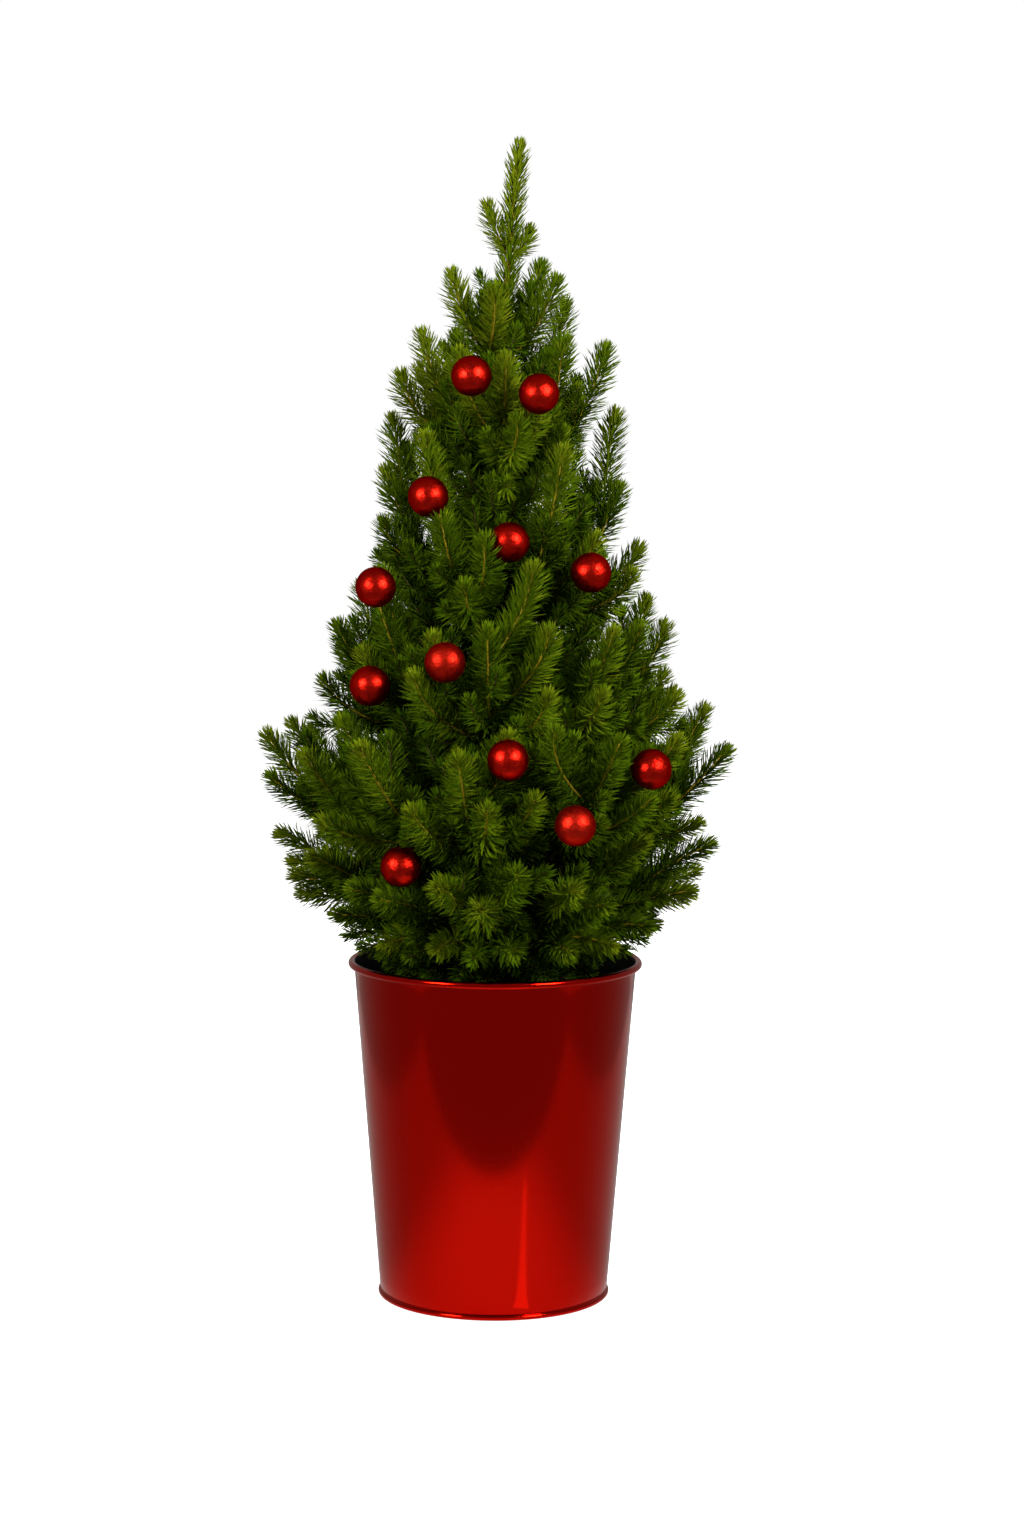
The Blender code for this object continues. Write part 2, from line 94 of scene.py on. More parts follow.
# %% [markdown]
# The pot's own solid gives its height and its widest reach, and the soil's solid gives its level.
# Later pieces are worked out from these, so they sit where the solids are.
# %% Read the pot's and the soil's sizes
POT_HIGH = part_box("pot")[1]
POT_HEIGHT = round(POT_HIGH.z, 6)
RIM_REACH = round(POT_HIGH.x, 6)
SOIL_LEVEL = round(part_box("soil")[1].z, 6)
TREE_TOP = 688.0 * MM
print(f"pot {POT_HEIGHT / MM:.1f} mm tall, rim at {RIM_REACH / MM:.1f} mm, soil at {SOIL_LEVEL / MM:.1f} mm")

# %% [markdown]
# The camera stands where the photographer stood: about two metres off, at three quarters of the
# plant's height, looking down by nearly six degrees. A long lens keeps perspective slight. It is
# given on the tall side of the picture, so it holds for any picture of these proportions.
# %% Place the camera
CAMERA_PLACE = (8.3 * MM, -1.936, 0.515)
CAMERA_DOWN = 0.1004
CAMERA_ROLL = 0.0058
LENS = 76.1
camera_data = bpy.data.cameras.new("camera")
camera_data.sensor_fit = "VERTICAL"
camera_data.sensor_height = 36.0
camera_data.lens = LENS
camera_data.dof.use_dof = False
camera = bpy.data.objects.new("camera", camera_data)
camera.location = CAMERA_PLACE
camera.rotation_euler = (math.pi / 2 - CAMERA_DOWN, -CAMERA_ROLL, 0.0)
bpy.context.scene.collection.objects.link(camera)
bpy.context.scene.camera = camera
bpy.context.scene.view_settings.view_transform = "Standard"
print("camera looks down by", round(math.degrees(CAMERA_DOWN), 2), "degrees")

# %% [markdown]
# Most new pieces start from Blender's own primitives. An operator acts on all that is selected, and
# the solid model arrives selected, so a helper clears the selection first. A finished piece keeps
# its place in its mesh, so its object goes back to the origin, unturned and unscaled.
# %% Helpers for selecting and finishing
def select_only(*pieces):
    bpy.ops.object.select_all(action="DESELECT")
    for piece in pieces:
        piece.select_set(True)
    if pieces:
        bpy.context.view_layer.objects.active = pieces[0]


def settle(piece, name, *materials):
    """Name a piece, apply its place and give it its materials."""
    piece.name = name
    piece.data.name = name
    select_only(piece)
    bpy.ops.object.transform_apply(location=True, rotation=True, scale=True)
    for material in materials:
        piece.data.materials.append(material)
    return piece


def apply_modifiers(piece):
    select_only(piece)
    for modifier in list(piece.modifiers):
        bpy.ops.object.modifier_apply(modifier=modifier.name)


def add_to_plant(piece, slot, *replaced):
    """A piece stands with the plant and may stand for solid nodes; its slot is not used."""
    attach(piece, "root")
    if replaced:
        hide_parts(*replaced)


print("selection helpers ready")

# %% [markdown]
# Materials are node materials. What is the same all over sits on the shader itself, and a noise
# read from the object's own coordinates breaks up roughness, colour or relief, so that no surface
# looks like fresh plastic. Noise keeps near its middle, so its middle part is spread out.
# %% Helpers for materials
NOISE_FROM = 0.3
NOISE_TO = 0.7
STOP_PLACES = (0.32, 0.68)


def shader_of(material):
    return material.node_tree.nodes["Principled BSDF"]


def set_inputs(node, values):
    for socket, value in values.items():
        node.inputs[socket].default_value = value


def plain_material(name, colour, roughness, metallic=0.0, more=()):
    """A material that is the same all over; more names further values of its shader."""
    material = bpy.data.materials.new(name)
    material.use_nodes = True
    values = {"Base Color": (*colour, 1.0), "Roughness": roughness, "Metallic": metallic}
    set_inputs(shader_of(material), values | dict(more))
    return material


def noise_into(material, kind, socket, scale, detail):
    """Noise in the object's own coordinates, from 0 to 1, led into a new node."""
    parts, links = material.node_tree.nodes, material.node_tree.links
    where = parts.new("ShaderNodeTexCoord")
    noise = parts.new("ShaderNodeTexNoise")
    set_inputs(noise, {"Scale": scale, "Detail": detail})
    links.new(where.outputs["Object"], noise.inputs["Vector"])
    node = parts.new(kind)
    links.new(noise.outputs["Fac"], node.inputs[socket])
    return node


def lead_to_shader(material, node, output, socket):
    material.node_tree.links.new(node.outputs[output], shader_of(material).inputs[socket])


def vary_roughness(material, scale, low, high):
    """Let noise move the roughness between two values."""
    spread = noise_into(material, "ShaderNodeMapRange", "Value", scale, 3.0)
    set_inputs(spread, {"From Min": NOISE_FROM, "From Max": NOISE_TO, "To Min": low, "To Max": high})
    lead_to_shader(material, spread, "Result", "Roughness")


def vary_colour(material, scale, dark, middle, light):
    """Let noise pick the base colour from a row of three."""
    row = noise_into(material, "ShaderNodeValToRGB", "Fac", scale, 4.0)
    stops = row.color_ramp.elements
    stops[0].position, stops[1].position = STOP_PLACES
    stops[0].color = (*dark, 1.0)
    stops[1].color = (*light, 1.0)
    stops.new(sum(STOP_PLACES) / 2).color = (*middle, 1.0)
    lead_to_shader(material, row, "Color", "Base Color")


def add_relief(material, scale, strength, depth, detail=4.0):
    """Small bumps that only the shading shows."""
    bump = noise_into(material, "ShaderNodeBump", "Height", scale, detail)
    set_inputs(bump, {"Strength": strength, "Distance": depth})
    lead_to_shader(material, bump, "Normal", "Normal")


print("material helpers ready")

# %% [markdown]
# A studio like the photograph's. The ground is overexposed to white, so one large sheet shows
# white to the camera only. What the tin reflects is another matter: it shows a pale table top
# round the pot, which ends some twenty centimetres in front of it, and a dim room past that. One
# narrow streak of light lies on the table, which draws the bright upright line on the tin. So the
# table and the streak are sheets that are seen in reflections only.
# %% Floor and table
WHITE = (1.0, 1.0, 1.0, 1.0)
PAPER_GREY = (0.8, 0.8, 0.8)


def glowing_sheet(name, centre, size, height, glow, turn=0.0):
    """A flat rectangle on the ground that gives light, and its paper."""
    select_only()
    bpy.ops.mesh.primitive_plane_add(size=1.0, location=(*centre, height), rotation=(0.0, 0.0, turn))
    sheet = bpy.context.object
    sheet.scale = (*size, 1.0)
    light = {"Emission Color": WHITE, "Emission Strength": glow}
    paper = plain_material(name + "_paper", PAPER_GREY, 0.9, more=light)
    settle(sheet, name, paper)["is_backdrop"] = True
    return sheet, paper


def fade_with_distance(paper, centre, near, far):
    """Let a sheet's light fall off round a point; near and far are (distance, strength)."""
    parts, links = paper.node_tree.nodes, paper.node_tree.links
    where = parts.new("ShaderNodeTexCoord")
    away = parts.new("ShaderNodeVectorMath")
    away.operation = "DISTANCE"
    away.inputs[1].default_value = (*centre, 0.0)
    fade = parts.new("ShaderNodeMapRange")
    fade.interpolation_type = "SMOOTHSTEP"
    set_inputs(fade, {"From Min": near[0], "From Max": far[0], "To Min": near[1], "To Max": far[1]})
    links.new(where.outputs["Object"], away.inputs[0])
    links.new(away.outputs["Value"], fade.inputs["Value"])
    lead_to_shader(paper, fade, "Result", "Emission Strength")


FLOOR_HEIGHT = -0.5 * MM
FLOOR_SIZE = (8.0, 8.0)
TABLE_CENTRE = (0.008, 0.29)
TABLE_SIZE = (1.015, 1.175)
TABLE_FADE = ((0.0, -0.19), (0.06, 0.80), (0.28, 0.26))
STREAK_HEADING = math.radians(-61)
STREAK_CENTRE = (0.0714, -0.1660)
STREAK_SIZE = (0.205, 0.013)
STREAK_GLOW = 1.5
floor, _ = glowing_sheet("floor", (0.0, 0.0), FLOOR_SIZE, FLOOR_HEIGHT, 1.0)
floor.visible_glossy = False
floor.visible_diffuse = False
table, table_paper = glowing_sheet("table_top", TABLE_CENTRE, TABLE_SIZE, 3 * FLOOR_HEIGHT, 1.0)
fade_with_distance(table_paper, *TABLE_FADE)
streak_height = 2 * FLOOR_HEIGHT
streak, _ = glowing_sheet("streak", STREAK_CENTRE, STREAK_SIZE, streak_height, STREAK_GLOW, STREAK_HEADING)
for sheet in (table, streak):
    sheet.visible_camera = False
    sheet.visible_diffuse = False
print("table top ends", TABLE_SIZE[1] / 2 - TABLE_CENTRE[1], "m in front of the pot's centre")

# %% [markdown]
# The sky shows pure white, but it is dim in reflections and lights the plant even less, which
# leaves the inside of the crown dark. Two soft boxes stand at the camera's left and right and give
# every bauble its two bright spots. A third hangs above and lights the tips of shoots, and a weak
# one behind keeps the back from going black. Both are kept out of reflections, as the baubles in
# the photograph don't show them.
# %% Sky and soft boxes
SKY_SHOWN = 1.0
SKY_REFLECTED = 0.30
SKY_LIGHT = 0.18
world = bpy.data.worlds.new("studio")
bpy.context.scene.world = world
world.use_nodes = True
sky_nodes = world.node_tree.nodes
sky_links = world.node_tree.links
sky = sky_nodes["Background"]
set_inputs(sky, {"Color": WHITE})
path = sky_nodes.new("ShaderNodeLightPath")
unseen = sky_nodes.new("ShaderNodeMapRange")
set_inputs(unseen, {"To Min": SKY_LIGHT, "To Max": SKY_REFLECTED})
strength = sky_nodes.new("ShaderNodeMapRange")
set_inputs(strength, {"To Max": SKY_SHOWN})
sky_links.new(path.outputs["Is Glossy Ray"], unseen.inputs["Value"])
sky_links.new(unseen.outputs["Result"], strength.inputs["To Min"])
sky_links.new(path.outputs["Is Camera Ray"], strength.inputs["Value"])
sky_links.new(strength.outputs["Result"], sky.inputs["Strength"])
# Each box: its place, the height it aims at, its side, its power, and whether gloss shows it.
SOFT_BOXES = {
    "box_left": ((-0.97, -0.99, 0.82), 0.42, 0.40, 21.5, True),
    "box_right": ((0.93, -0.96, 1.00), 0.42, 0.44, 28.5, True),
    "box_top": ((0.0, -0.25, 1.65), 0.40, 0.80, 16.0, False),
    "box_back": ((0.0, 1.30, 1.05), 0.35, 0.90, 16.0, False),
}
for name, (stand, aim_height, side, power, in_gloss) in SOFT_BOXES.items():
    data = bpy.data.lights.new(name, "AREA")
    data.size = side
    data.energy = power
    box = bpy.data.objects.new(name, data)
    box.location = stand
    way = Vector((0.0, 0.0, aim_height)) - Vector(stand)
    box.rotation_euler = way.to_track_quat("-Z", "Y").to_euler()
    box.visible_glossy = in_gloss
    bpy.context.scene.collection.objects.link(box)
print("lights:", list(SOFT_BOXES))

# %% [markdown]
# The crown follows one rule, the same that made the solid masses. Limbs leave the trunk in tiers
# and swing out and up to leading tips. Side shoots then grow to further tips from the stem that
# reaches each one best, as long as they keep clear of what has grown before. The numbers in the
# tables are the tree's own: where its limbs start, and where its shoots end.
# %% The tree's own figures
CROWN_REACH = ((208, 84), (235, 108), (265, 120), (330, 132), (360, 120), (410, 95), (460, 80),
               (535, 62), (575, 49), (620, 26), (660, 8))
CROWN_RISE = ((210, -18), (235, 2), (265, 15), (300, 38), (340, 56), (400, 70), (500, 77))
TIERS = {
    "top": (551, 0.0, ((192, 28, 612), (341, 35, 609), (95, 28, 606))),
    "upper": (486, 0.0, ((194, 46, 577), (275, 52, 562), (351, 64, 569), (50, 52, 566), (130, 50, 570))),
    "middle": (402, 0.0, ((180, 66, 497), (246, 79, 471), (302, 71, 509), (354, 72, 488), (50, 73, 490),
                          (115, 75, 484))),
    "lower": (302, 0.40, ((178, 95, 405), (222, 93, 425), (267, 98, 408), (313, 98, 406), (4, 101, 405),
                          (57, 98, 412), (120, 98, 404))),
    "wide": (238, 0.42, ((185, 137, 340), (234, 130, 341), (261, 132, 338), (303, 129, 346),
                         (356, 137, 332), (55, 132, 343), (119, 131, 338))),
    "skirt": (195, 0.30, ((190, 121, 257), (237, 119, 254), (266, 118, 250), (303, 117, 252),
                          (347, 119, 250), (52, 119, 254), (117, 119, 252))),
}
FOOT_STAGGER = 9.0 * MM
SIDE_TIPS = ((18, 26, 618), (17, 41, 596), (262, 20, 603),
             (148, 30, 577), (186, 58, 553), (280, 67, 527), (5, 70, 531), (292, 56, 548),
             (197, 70, 467), (265, 82, 459), (284, 86, 443), (3, 84, 452), (220, 87, 439),
             (288, 97, 407), (8, 90, 420), (186, 103, 373), (352, 106, 367), (244, 106, 381),
             (303, 111, 372), (175, 123, 345), (4, 125, 355), (189, 135, 316), (285, 129, 352),
             (312, 131, 312), (181, 129, 280), (351, 129, 277), (354, 121, 289), (249, 131, 307),
             (268, 131, 309), (180, 122, 263), (185, 116, 245), (355, 116, 246), (254, 118, 263),
             (276, 122, 272), (293, 118, 261), (8, 122, 256), (228, 94, 224), (249, 92, 224),
             (277, 90, 222), (298, 91, 222), (318, 92, 223), (332, 102, 232), (202, 101, 236),
             (0, 96, 226), (30, 94, 226), (72, 94, 224), (98, 94, 226), (138, 94, 224), (165, 95, 226))
LEADER_FOOT = 567.0 * MM
LEADER_SIDE_TIPS = ((211, 8, 653), (29, 21, 639))
LEADER_SIDE_FOOT = 622.0 * MM
print("leading tips:", sum(len(tips) for _, _, tips in TIERS.values()), "side tips:", len(SIDE_TIPS))

# %% [markdown]
# The trunk's line and thickness come first. It is straight below and leans a little to the right
# near its tip, it tapers evenly, and it flares where it enters the soil.
# %% Trunk line and crown profiles
TRUNK_TOP = 684.0 * MM
TRUNK_FOOT_RADIUS = 6.0 * MM
TRUNK_TIP_RADIUS = 0.9 * MM
TRUNK_LEAN = 12.0 * MM
LEAN_POWER = 5
ROOT_FLARE = 3.6 * MM
FLARE_HEIGHT = 7.0 * MM
POT_WALL_INSIDE = 84.0 * MM


def place(heading, reach, height):
    """Point from its heading in degrees, its reach from the axis and its height in mm."""
    turn = math.radians(heading)
    return Vector((reach * math.cos(turn), reach * math.sin(turn), height)) * MM


def read_profile(profile, height):
    """Value of a profile, given in mm, at a height in metres."""
    heights, values = zip(*profile)
    return float(np.interp(height / MM, heights, values))


def trunk_centre(height):
    share = max(height - SOIL_LEVEL, 0.0) / (TREE_TOP - SOIL_LEVEL)
    return Vector((TRUNK_LEAN * share ** LEAN_POWER, 0.0, height))


def trunk_radius(height):
    rise = height - SOIL_LEVEL
    taper = (TRUNK_TIP_RADIUS - TRUNK_FOOT_RADIUS) * rise / (TRUNK_TOP - SOIL_LEVEL)
    return TRUNK_FOOT_RADIUS + taper + ROOT_FLARE * math.exp(-rise / FLARE_HEIGHT)


def tip_direction(tip):
    """Way a shoot points where it ends: outwards, and up as the height asks."""
    out = Vector((tip.x, tip.y, 0.0)) - trunk_centre(tip.z).to_2d().to_3d()
    rise = math.radians(read_profile(CROWN_RISE, tip.z))
    return out.normalized() * math.cos(rise) + Vector((0.0, 0.0, math.sin(rise)))


def above_pot(point, clearance):
    """True for a point clear of the pot's rim and wall and of the soil."""
    inside = math.hypot(point.x, point.y) < POT_WALL_INSIDE - clearance
    return point.z > (SOIL_LEVEL if inside else POT_HEIGHT) + clearance


print(f"trunk radius at soil {trunk_radius(SOIL_LEVEL) / MM:.1f} mm")

# %% [markdown]
# A limb or shoot is an arc of a few points: it leaves its parent, then swings round to the way its
# tip points. The rest of this cell measures lengths and distances along such lines.
# %% Lines that limbs and shoots follow
LIMB_BEND = 0.5
SHOOT_BEND = 0.4
LINE_POINTS = 9


def arc(start, tip, bend_share, count):
    """Curve from start that swings round to end at tip along the tip's direction."""
    bend = tip - tip_direction(tip) * (tip - start).length * bend_share
    shares = [step / (count - 1) for step in range(count)]
    return [start * (1 - s) ** 2 + bend * (2 * s * (1 - s)) + tip * s * s for s in shares]


def measured(line):
    """A line's points as rows, and how far along it each one is."""
    points = np.array([tuple(point) for point in line])
    steps = np.linalg.norm(np.diff(points, axis=0), axis=1)
    return points, np.concatenate(([0.0], np.cumsum(steps)))


def read_rows(wanted, along, rows):
    """Rows of three numbers, read off between those given along a line."""
    return np.stack([np.interp(wanted, along, rows[:, axis]) for axis in range(3)], axis=1)


def part_of(line, first, last, count=LINE_POINTS):
    """Evenly spaced points of a curve between two shares of its length."""
    points, along = measured(line)
    wanted = np.linspace(first, last, count) * along[-1]
    return [Vector(point) for point in read_rows(wanted, along, points)]


def length_of(line):
    return sum((b - a).length for a, b in zip(line, line[1:]))


def distances(points, starts, ends):
    """Distance of each point from each straight stretch."""
    spots = np.asarray(points)[:, None, :]
    runs = ends - starts
    shares = np.clip(((spots - starts) * runs).sum(-1) / (runs * runs).sum(-1), 0.0, 1.0)
    return np.linalg.norm(spots - (starts + shares[..., None] * runs), axis=-1)


def stretches(lines):
    """Starts and ends of all the straight stretches of some lines."""
    starts = [tuple(point) for line in lines for point in line[:-1]]
    ends = [tuple(point) for line in lines for point in line[1:]]
    return np.array(starts), np.array(ends)


print("points in a shoot's line:", LINE_POINTS)

# %% [markdown]
# A shoot is a line with an order: 0 for a leading stem, 1 for a side shoot, 2 for a twig on either
# and 3 for a twig inside the crown. A new side shoot keeps clear of the pot, the trunk and all that
# has grown before it. Arrays measure this quickly enough to try thousands of lines.
# %% Shoots and the room they need
CORE_CLEARANCE = 6.5 * MM
RIM_CLEARANCE = 4.5 * MM


class Shoot:
    """A line that needles stand round, and the mass that owns it."""

    def __init__(self, mass, line, order, parent=None):
        self.mass = mass
        self.tier = mass.split("_")[0]
        self.line = line
        self.order = order
        self.parent = parent


boughs = []
shoots = []


def is_clear(line, parent):
    """True where a new side shoot keeps off every limb, shoot and the pot."""
    outer = line[2:]
    if any(not above_pot(point, RIM_CLEARANCE) for point in outer):
        return False
    if min((p - trunk_centre(p.z)).length - trunk_radius(p.z) for p in outer) < CORE_CLEARANCE:
        return False
    others = [shoot.line for shoot in shoots if shoot is not parent] + [line for _, line in boughs]
    if distances(outer, *stretches(others)).min() < CORE_CLEARANCE:
        return False
    return distances(outer[2:], *stretches([parent.line])).min() >= CORE_CLEARANCE


print(f"shoots keep {CORE_CLEARANCE / MM:.1f} mm apart")

# %% [markdown]
# To reach a tip, every stem is tried at every point. A line that is too short or too long, or that
# forks off too widely, drops out. The rest are ranked, and the best one that has room grows.
# %% Side shoots
SIDE_SHOOT_MIN = 28.0 * MM
SIDE_SHOOT_MAX = 96.0 * MM
BEST_LENGTH = 62.0 * MM
WIDEST_FORK = math.radians(64)
FORK_COST = 60.0 * MM


def join(tip):
    """Grow a side shoot to a tip from the stem that reaches it best."""
    choices = []
    for stem in [shoot for shoot in shoots if shoot.parent is None and shoot.mass != "leader"]:
        for index in range(1, LINE_POINTS - 2):
            start = stem.line[index]
            length = (tip - start).length
            if not SIDE_SHOOT_MIN <= length <= SIDE_SHOOT_MAX:
                continue
            line = arc(start, tip, SHOOT_BEND, LINE_POINTS)
            fork = (line[1] - line[0]).angle(stem.line[index + 1] - start)
            if fork <= WIDEST_FORK:
                cost = abs(length - BEST_LENGTH) + FORK_COST * fork
                choices.append((cost, len(choices), stem, line))
    for _, _, stem, line in sorted(choices, key=lambda choice: choice[:2]):
        if is_clear(line, stem):
            shoots.append(Shoot(stem.mass, line, 1, stem))
            return


print(f"side shoots are {SIDE_SHOOT_MIN / MM:.0f} to {SIDE_SHOOT_MAX / MM:.0f} mm long")

# %% [markdown]
# Growing keeps the order of the solid model: the leader first, then the limbs tier by tier. A limb
# of a lower tier is a bare bough, which turns into the stem of its mass. It begins where its root
# just clears the trunk, and small steps along its line find that place.
# %% Leader and limbs
GAP = 0.3 * MM
SEATING_STEP = 0.1 * MM
BOUGH_ROOT_RADIUS = 2.4 * MM
BOUGH_TIP_RADIUS = 1.7 * MM
STEM_RADIUS = 2.3 * MM


def seated_start(line, root_radius):
    """How far along its line a limb begins for its root to just clear the trunk."""
    length = length_of(line)
    for reach in np.arange(trunk_radius(line[0].z), SIDE_SHOOT_MIN, SEATING_STEP):
        point, beyond = part_of(line, reach / length, (reach + root_radius) / length, 2)
        ahead = (beyond - point).normalized()
        inner = point + (Vector((0.0, 0.0, 1.0)) - ahead * ahead.z).normalized() * root_radius
        if (inner - trunk_centre(inner.z)).length >= trunk_radius(inner.z) + GAP:
            return reach
    return SIDE_SHOOT_MIN


def grow_leads():
    """The leader, and each tier's limbs as a bare bough and the stem of its mass."""
    heights = np.linspace(LEADER_FOOT, TREE_TOP, LINE_POINTS)
    leader = Shoot("leader", [trunk_centre(height) for height in heights], 0)
    shoots.append(leader)
    for tip in LEADER_SIDE_TIPS:
        line = arc(trunk_centre(LEADER_SIDE_FOOT), place(*tip), SHOOT_BEND, LINE_POINTS)
        shoots.append(Shoot("leader", line, 1, leader))
    for tier, (foot, bare_share, tips) in TIERS.items():
        for number, tip in enumerate(tips, 1):
            height = foot * MM + FOOT_STAGGER * (number % 3 - 1)
            line = arc(trunk_centre(height), place(*tip), LIMB_BEND, 2 * LINE_POINTS)
            length = length_of(line)
            start = seated_start(line, BOUGH_ROOT_RADIUS if bare_share else STEM_RADIUS)
            if bare_share:
                boughs.append((f"bough_{tier}_{number}", part_of(line, start / length, bare_share)))
                start = bare_share * length + GAP
            shoots.append(Shoot(f"{tier}_{number}", part_of(line, start / length, 1.0), 0))


grow_leads()
print("boughs:", len(boughs), "stems so far:", len(shoots))

# %% [markdown]
# Then come side shoots to the tips in the table, and after them side shoots to tips spread evenly
# on a spiral, except where another shoot ends close by. Random draws come from one seeded source,
# so the tree is the same each time.
# %% Further tips on a spiral
SPIRAL_TIPS = 170
SPIRAL_STEP = 137.508
SPIRAL_TOP = 600.0 * MM
SPIRAL_READINGS = 200
TIP_SPACING = 27.0 * MM
REACH_SPREAD = 0.12
CROWN_SEED = 41


def spiral_tips(count, reach_of):
    """Tips spread over the crown's surface with even spacing, from the top down."""
    heights = np.linspace(SPIRAL_TOP, CROWN_REACH[0][0] * MM, SPIRAL_READINGS)
    reaches = np.array([read_profile(CROWN_REACH, height) * MM for height in heights])
    slants = np.hypot(np.diff(heights), np.diff(reaches))
    areas = np.concatenate(([0.0], np.cumsum(slants * (reaches[1:] + reaches[:-1]))))
    for number in range(count):
        height = float(np.interp((number + 0.5) / count * areas[-1], areas, heights))
        yield place(number * SPIRAL_STEP, read_profile(CROWN_REACH, height) * reach_of(), height / MM)


crown_rng = random.Random(CROWN_SEED)
outer_tips = list(spiral_tips(SPIRAL_TIPS, lambda: 1.0 - REACH_SPREAD * crown_rng.random()))
for number, tip in enumerate([place(*tip) for tip in SIDE_TIPS] + outer_tips):
    crowded = min((shoot.line[-1] - tip).length for shoot in shoots) < TIP_SPACING
    if number < len(SIDE_TIPS) or not crowded:
        join(tip)
print("shoots:", len(shoots))

# %% [markdown]
# The solid model stops at its main shoots. On the plant each shoot carries finer twigs, so here
# the rule goes one step further: short twigs leave the inner part of every shoot at even steps,
# turned by the golden angle from one to the next, and swing upwards. None of them reaches past
# the crown's outline, and where two would end in the same spot, only the first one grows.
# %% Grow finer twigs on the shoots
TWIG_STEP = 8.5 * MM
TWIGS_ON_SHOOT = (0.06, 0.62)
TWIGS_ON_BOUGH = (0.1, 1.0)
TWIG_LONGEST = 44.0 * MM
TWIG_SHORTEST = 20.0 * MM
TWIG_SPREAD = (0.8, 1.15)
TWIG_FORK = math.radians(40)
TWIG_BEND = 0.25
TWIG_POINTS = 6
TWIG_SPACING = 9.5 * MM
TWIG_LIFT = 0.35
OUTLINE_MARGIN = 10.0 * MM
GOLDEN = math.radians(SPIRAL_STEP)
twig_rng = random.Random(CROWN_SEED + 1)
tips_so_far = [tuple(shoot.line[-1]) for shoot in shoots]


def crossways(ahead):
    """Two directions square to a line and to each other."""
    side = ahead.cross(Vector((0.0, 0.0, 1.0)))
    side = side.normalized() if side.length > 1e-3 else Vector((1.0, 0.0, 0.0))
    return side, ahead.cross(side).normalized()


def has_room(tip, spacing):
    """True where a twig's tip stays in the crown, off the pot and away from other tips."""
    centre = trunk_centre(tip.z)
    outline = read_profile(CROWN_REACH, tip.z) * MM - OUTLINE_MARGIN
    if math.hypot(tip.x - centre.x, tip.y) > outline or not above_pot(tip, RIM_CLEARANCE):
        return False
    return np.linalg.norm(np.array(tips_so_far) - np.array(tip), axis=1).min() > spacing


def grow_twigs(line, mass, span, order, turn):
    """Twigs on a span of one line, each turned by the golden angle from the one before."""
    grown = []
    first, last = span
    count = max(1, int(length_of(line) * (last - first) / TWIG_STEP))
    spots = part_of(line, first, last, count + 1)
    for number in range(count):
        ahead = (spots[number + 1] - spots[number]).normalized()
        side, across = crossways(ahead)
        turn += GOLDEN
        out = side * math.cos(turn) + across * math.sin(turn)
        length = TWIG_LONGEST + (TWIG_SHORTEST - TWIG_LONGEST) * number / count
        length *= twig_rng.uniform(*TWIG_SPREAD)
        way = ahead * math.cos(TWIG_FORK) + out * math.sin(TWIG_FORK) + Vector((0.0, 0.0, TWIG_LIFT))
        tip = spots[number] + way.normalized() * length
        if has_room(tip, TWIG_SPACING):
            tips_so_far.append(tuple(tip))
            grown.append(Shoot(mass, arc(spots[number], tip, TWIG_BEND, TWIG_POINTS), order))
    return grown


twigs = []
for number, shoot in enumerate(shoots):
    twigs += grow_twigs(shoot.line, shoot.mass, TWIGS_ON_SHOOT, 2, float(number))
for number, (name, line) in enumerate(boughs):
    twigs += grow_twigs(line, name.replace("bough_", ""), TWIGS_ON_BOUGH, 3, float(number))
print("finer twigs:", len(twigs))

# %% [markdown]
# Inside the crown, thin shaded shoots leave the trunk itself between the tiers. They hide the
# trunk, as on the real plant, where no daylight shows through the middle of the crown. Their tips
# are spread on the same spiral, at a third to four fifths of the crown's reach. One more ring of
# them droops over the soil and fills the mouth of the pot, and a last few lean over its rim.
# %% Grow shaded shoots inside the crown
INNER_TIPS = 430
INNER_REACH = (0.30, 0.80)
INNER_DROP = 0.50
INNER_SPACING = 10.5 * MM
LOWEST_FOOT = SOIL_LEVEL + 14.0 * MM
MOUTH_TIPS = 44
MOUTH_REACH = (38, 76)
MOUTH_HEIGHT = (196, 211)
RIM_TIPS = ((213, 93, 219), (204, 95, 224), (222, 88, 216), (236, 88, 217), (328, 90, 218),
            (338, 94, 222), (262, 88, 218), (300, 88, 218), (20, 92, 220), (60, 90, 219),
            (110, 90, 219), (150, 92, 220))


def tier_at(height):
    """The tier whose limbs leave the trunk nearest to a height."""
    return min(TIERS, key=lambda tier: abs(TIERS[tier][0] * MM - height))


inner = []
inner_tips = list(spiral_tips(INNER_TIPS, lambda: twig_rng.uniform(*INNER_REACH)))
for number in range(MOUTH_TIPS):
    reach = twig_rng.uniform(*MOUTH_REACH)
    inner_tips.append(place(number * SPIRAL_STEP, reach, twig_rng.uniform(*MOUTH_HEIGHT)))
inner_tips += [place(*tip) for tip in RIM_TIPS]
for number, tip in enumerate(inner_tips):
    foot = max(tip.z - INNER_DROP * math.hypot(tip.x, tip.y), LOWEST_FOOT)
    over_rim = number >= len(inner_tips) - len(RIM_TIPS)
    if over_rim or has_room(tip, INNER_SPACING):
        tips_so_far.append(tuple(tip))
        line = arc(trunk_centre(foot), tip, LIMB_BEND, TWIG_POINTS)
        inner.append(Shoot(tier_at(foot), line, 2 if over_rim else 3))
growth = shoots + twigs + inner
print("inner shoots:", len(inner), "all growth:", round(sum(length_of(s.line) for s in growth), 1), "m")

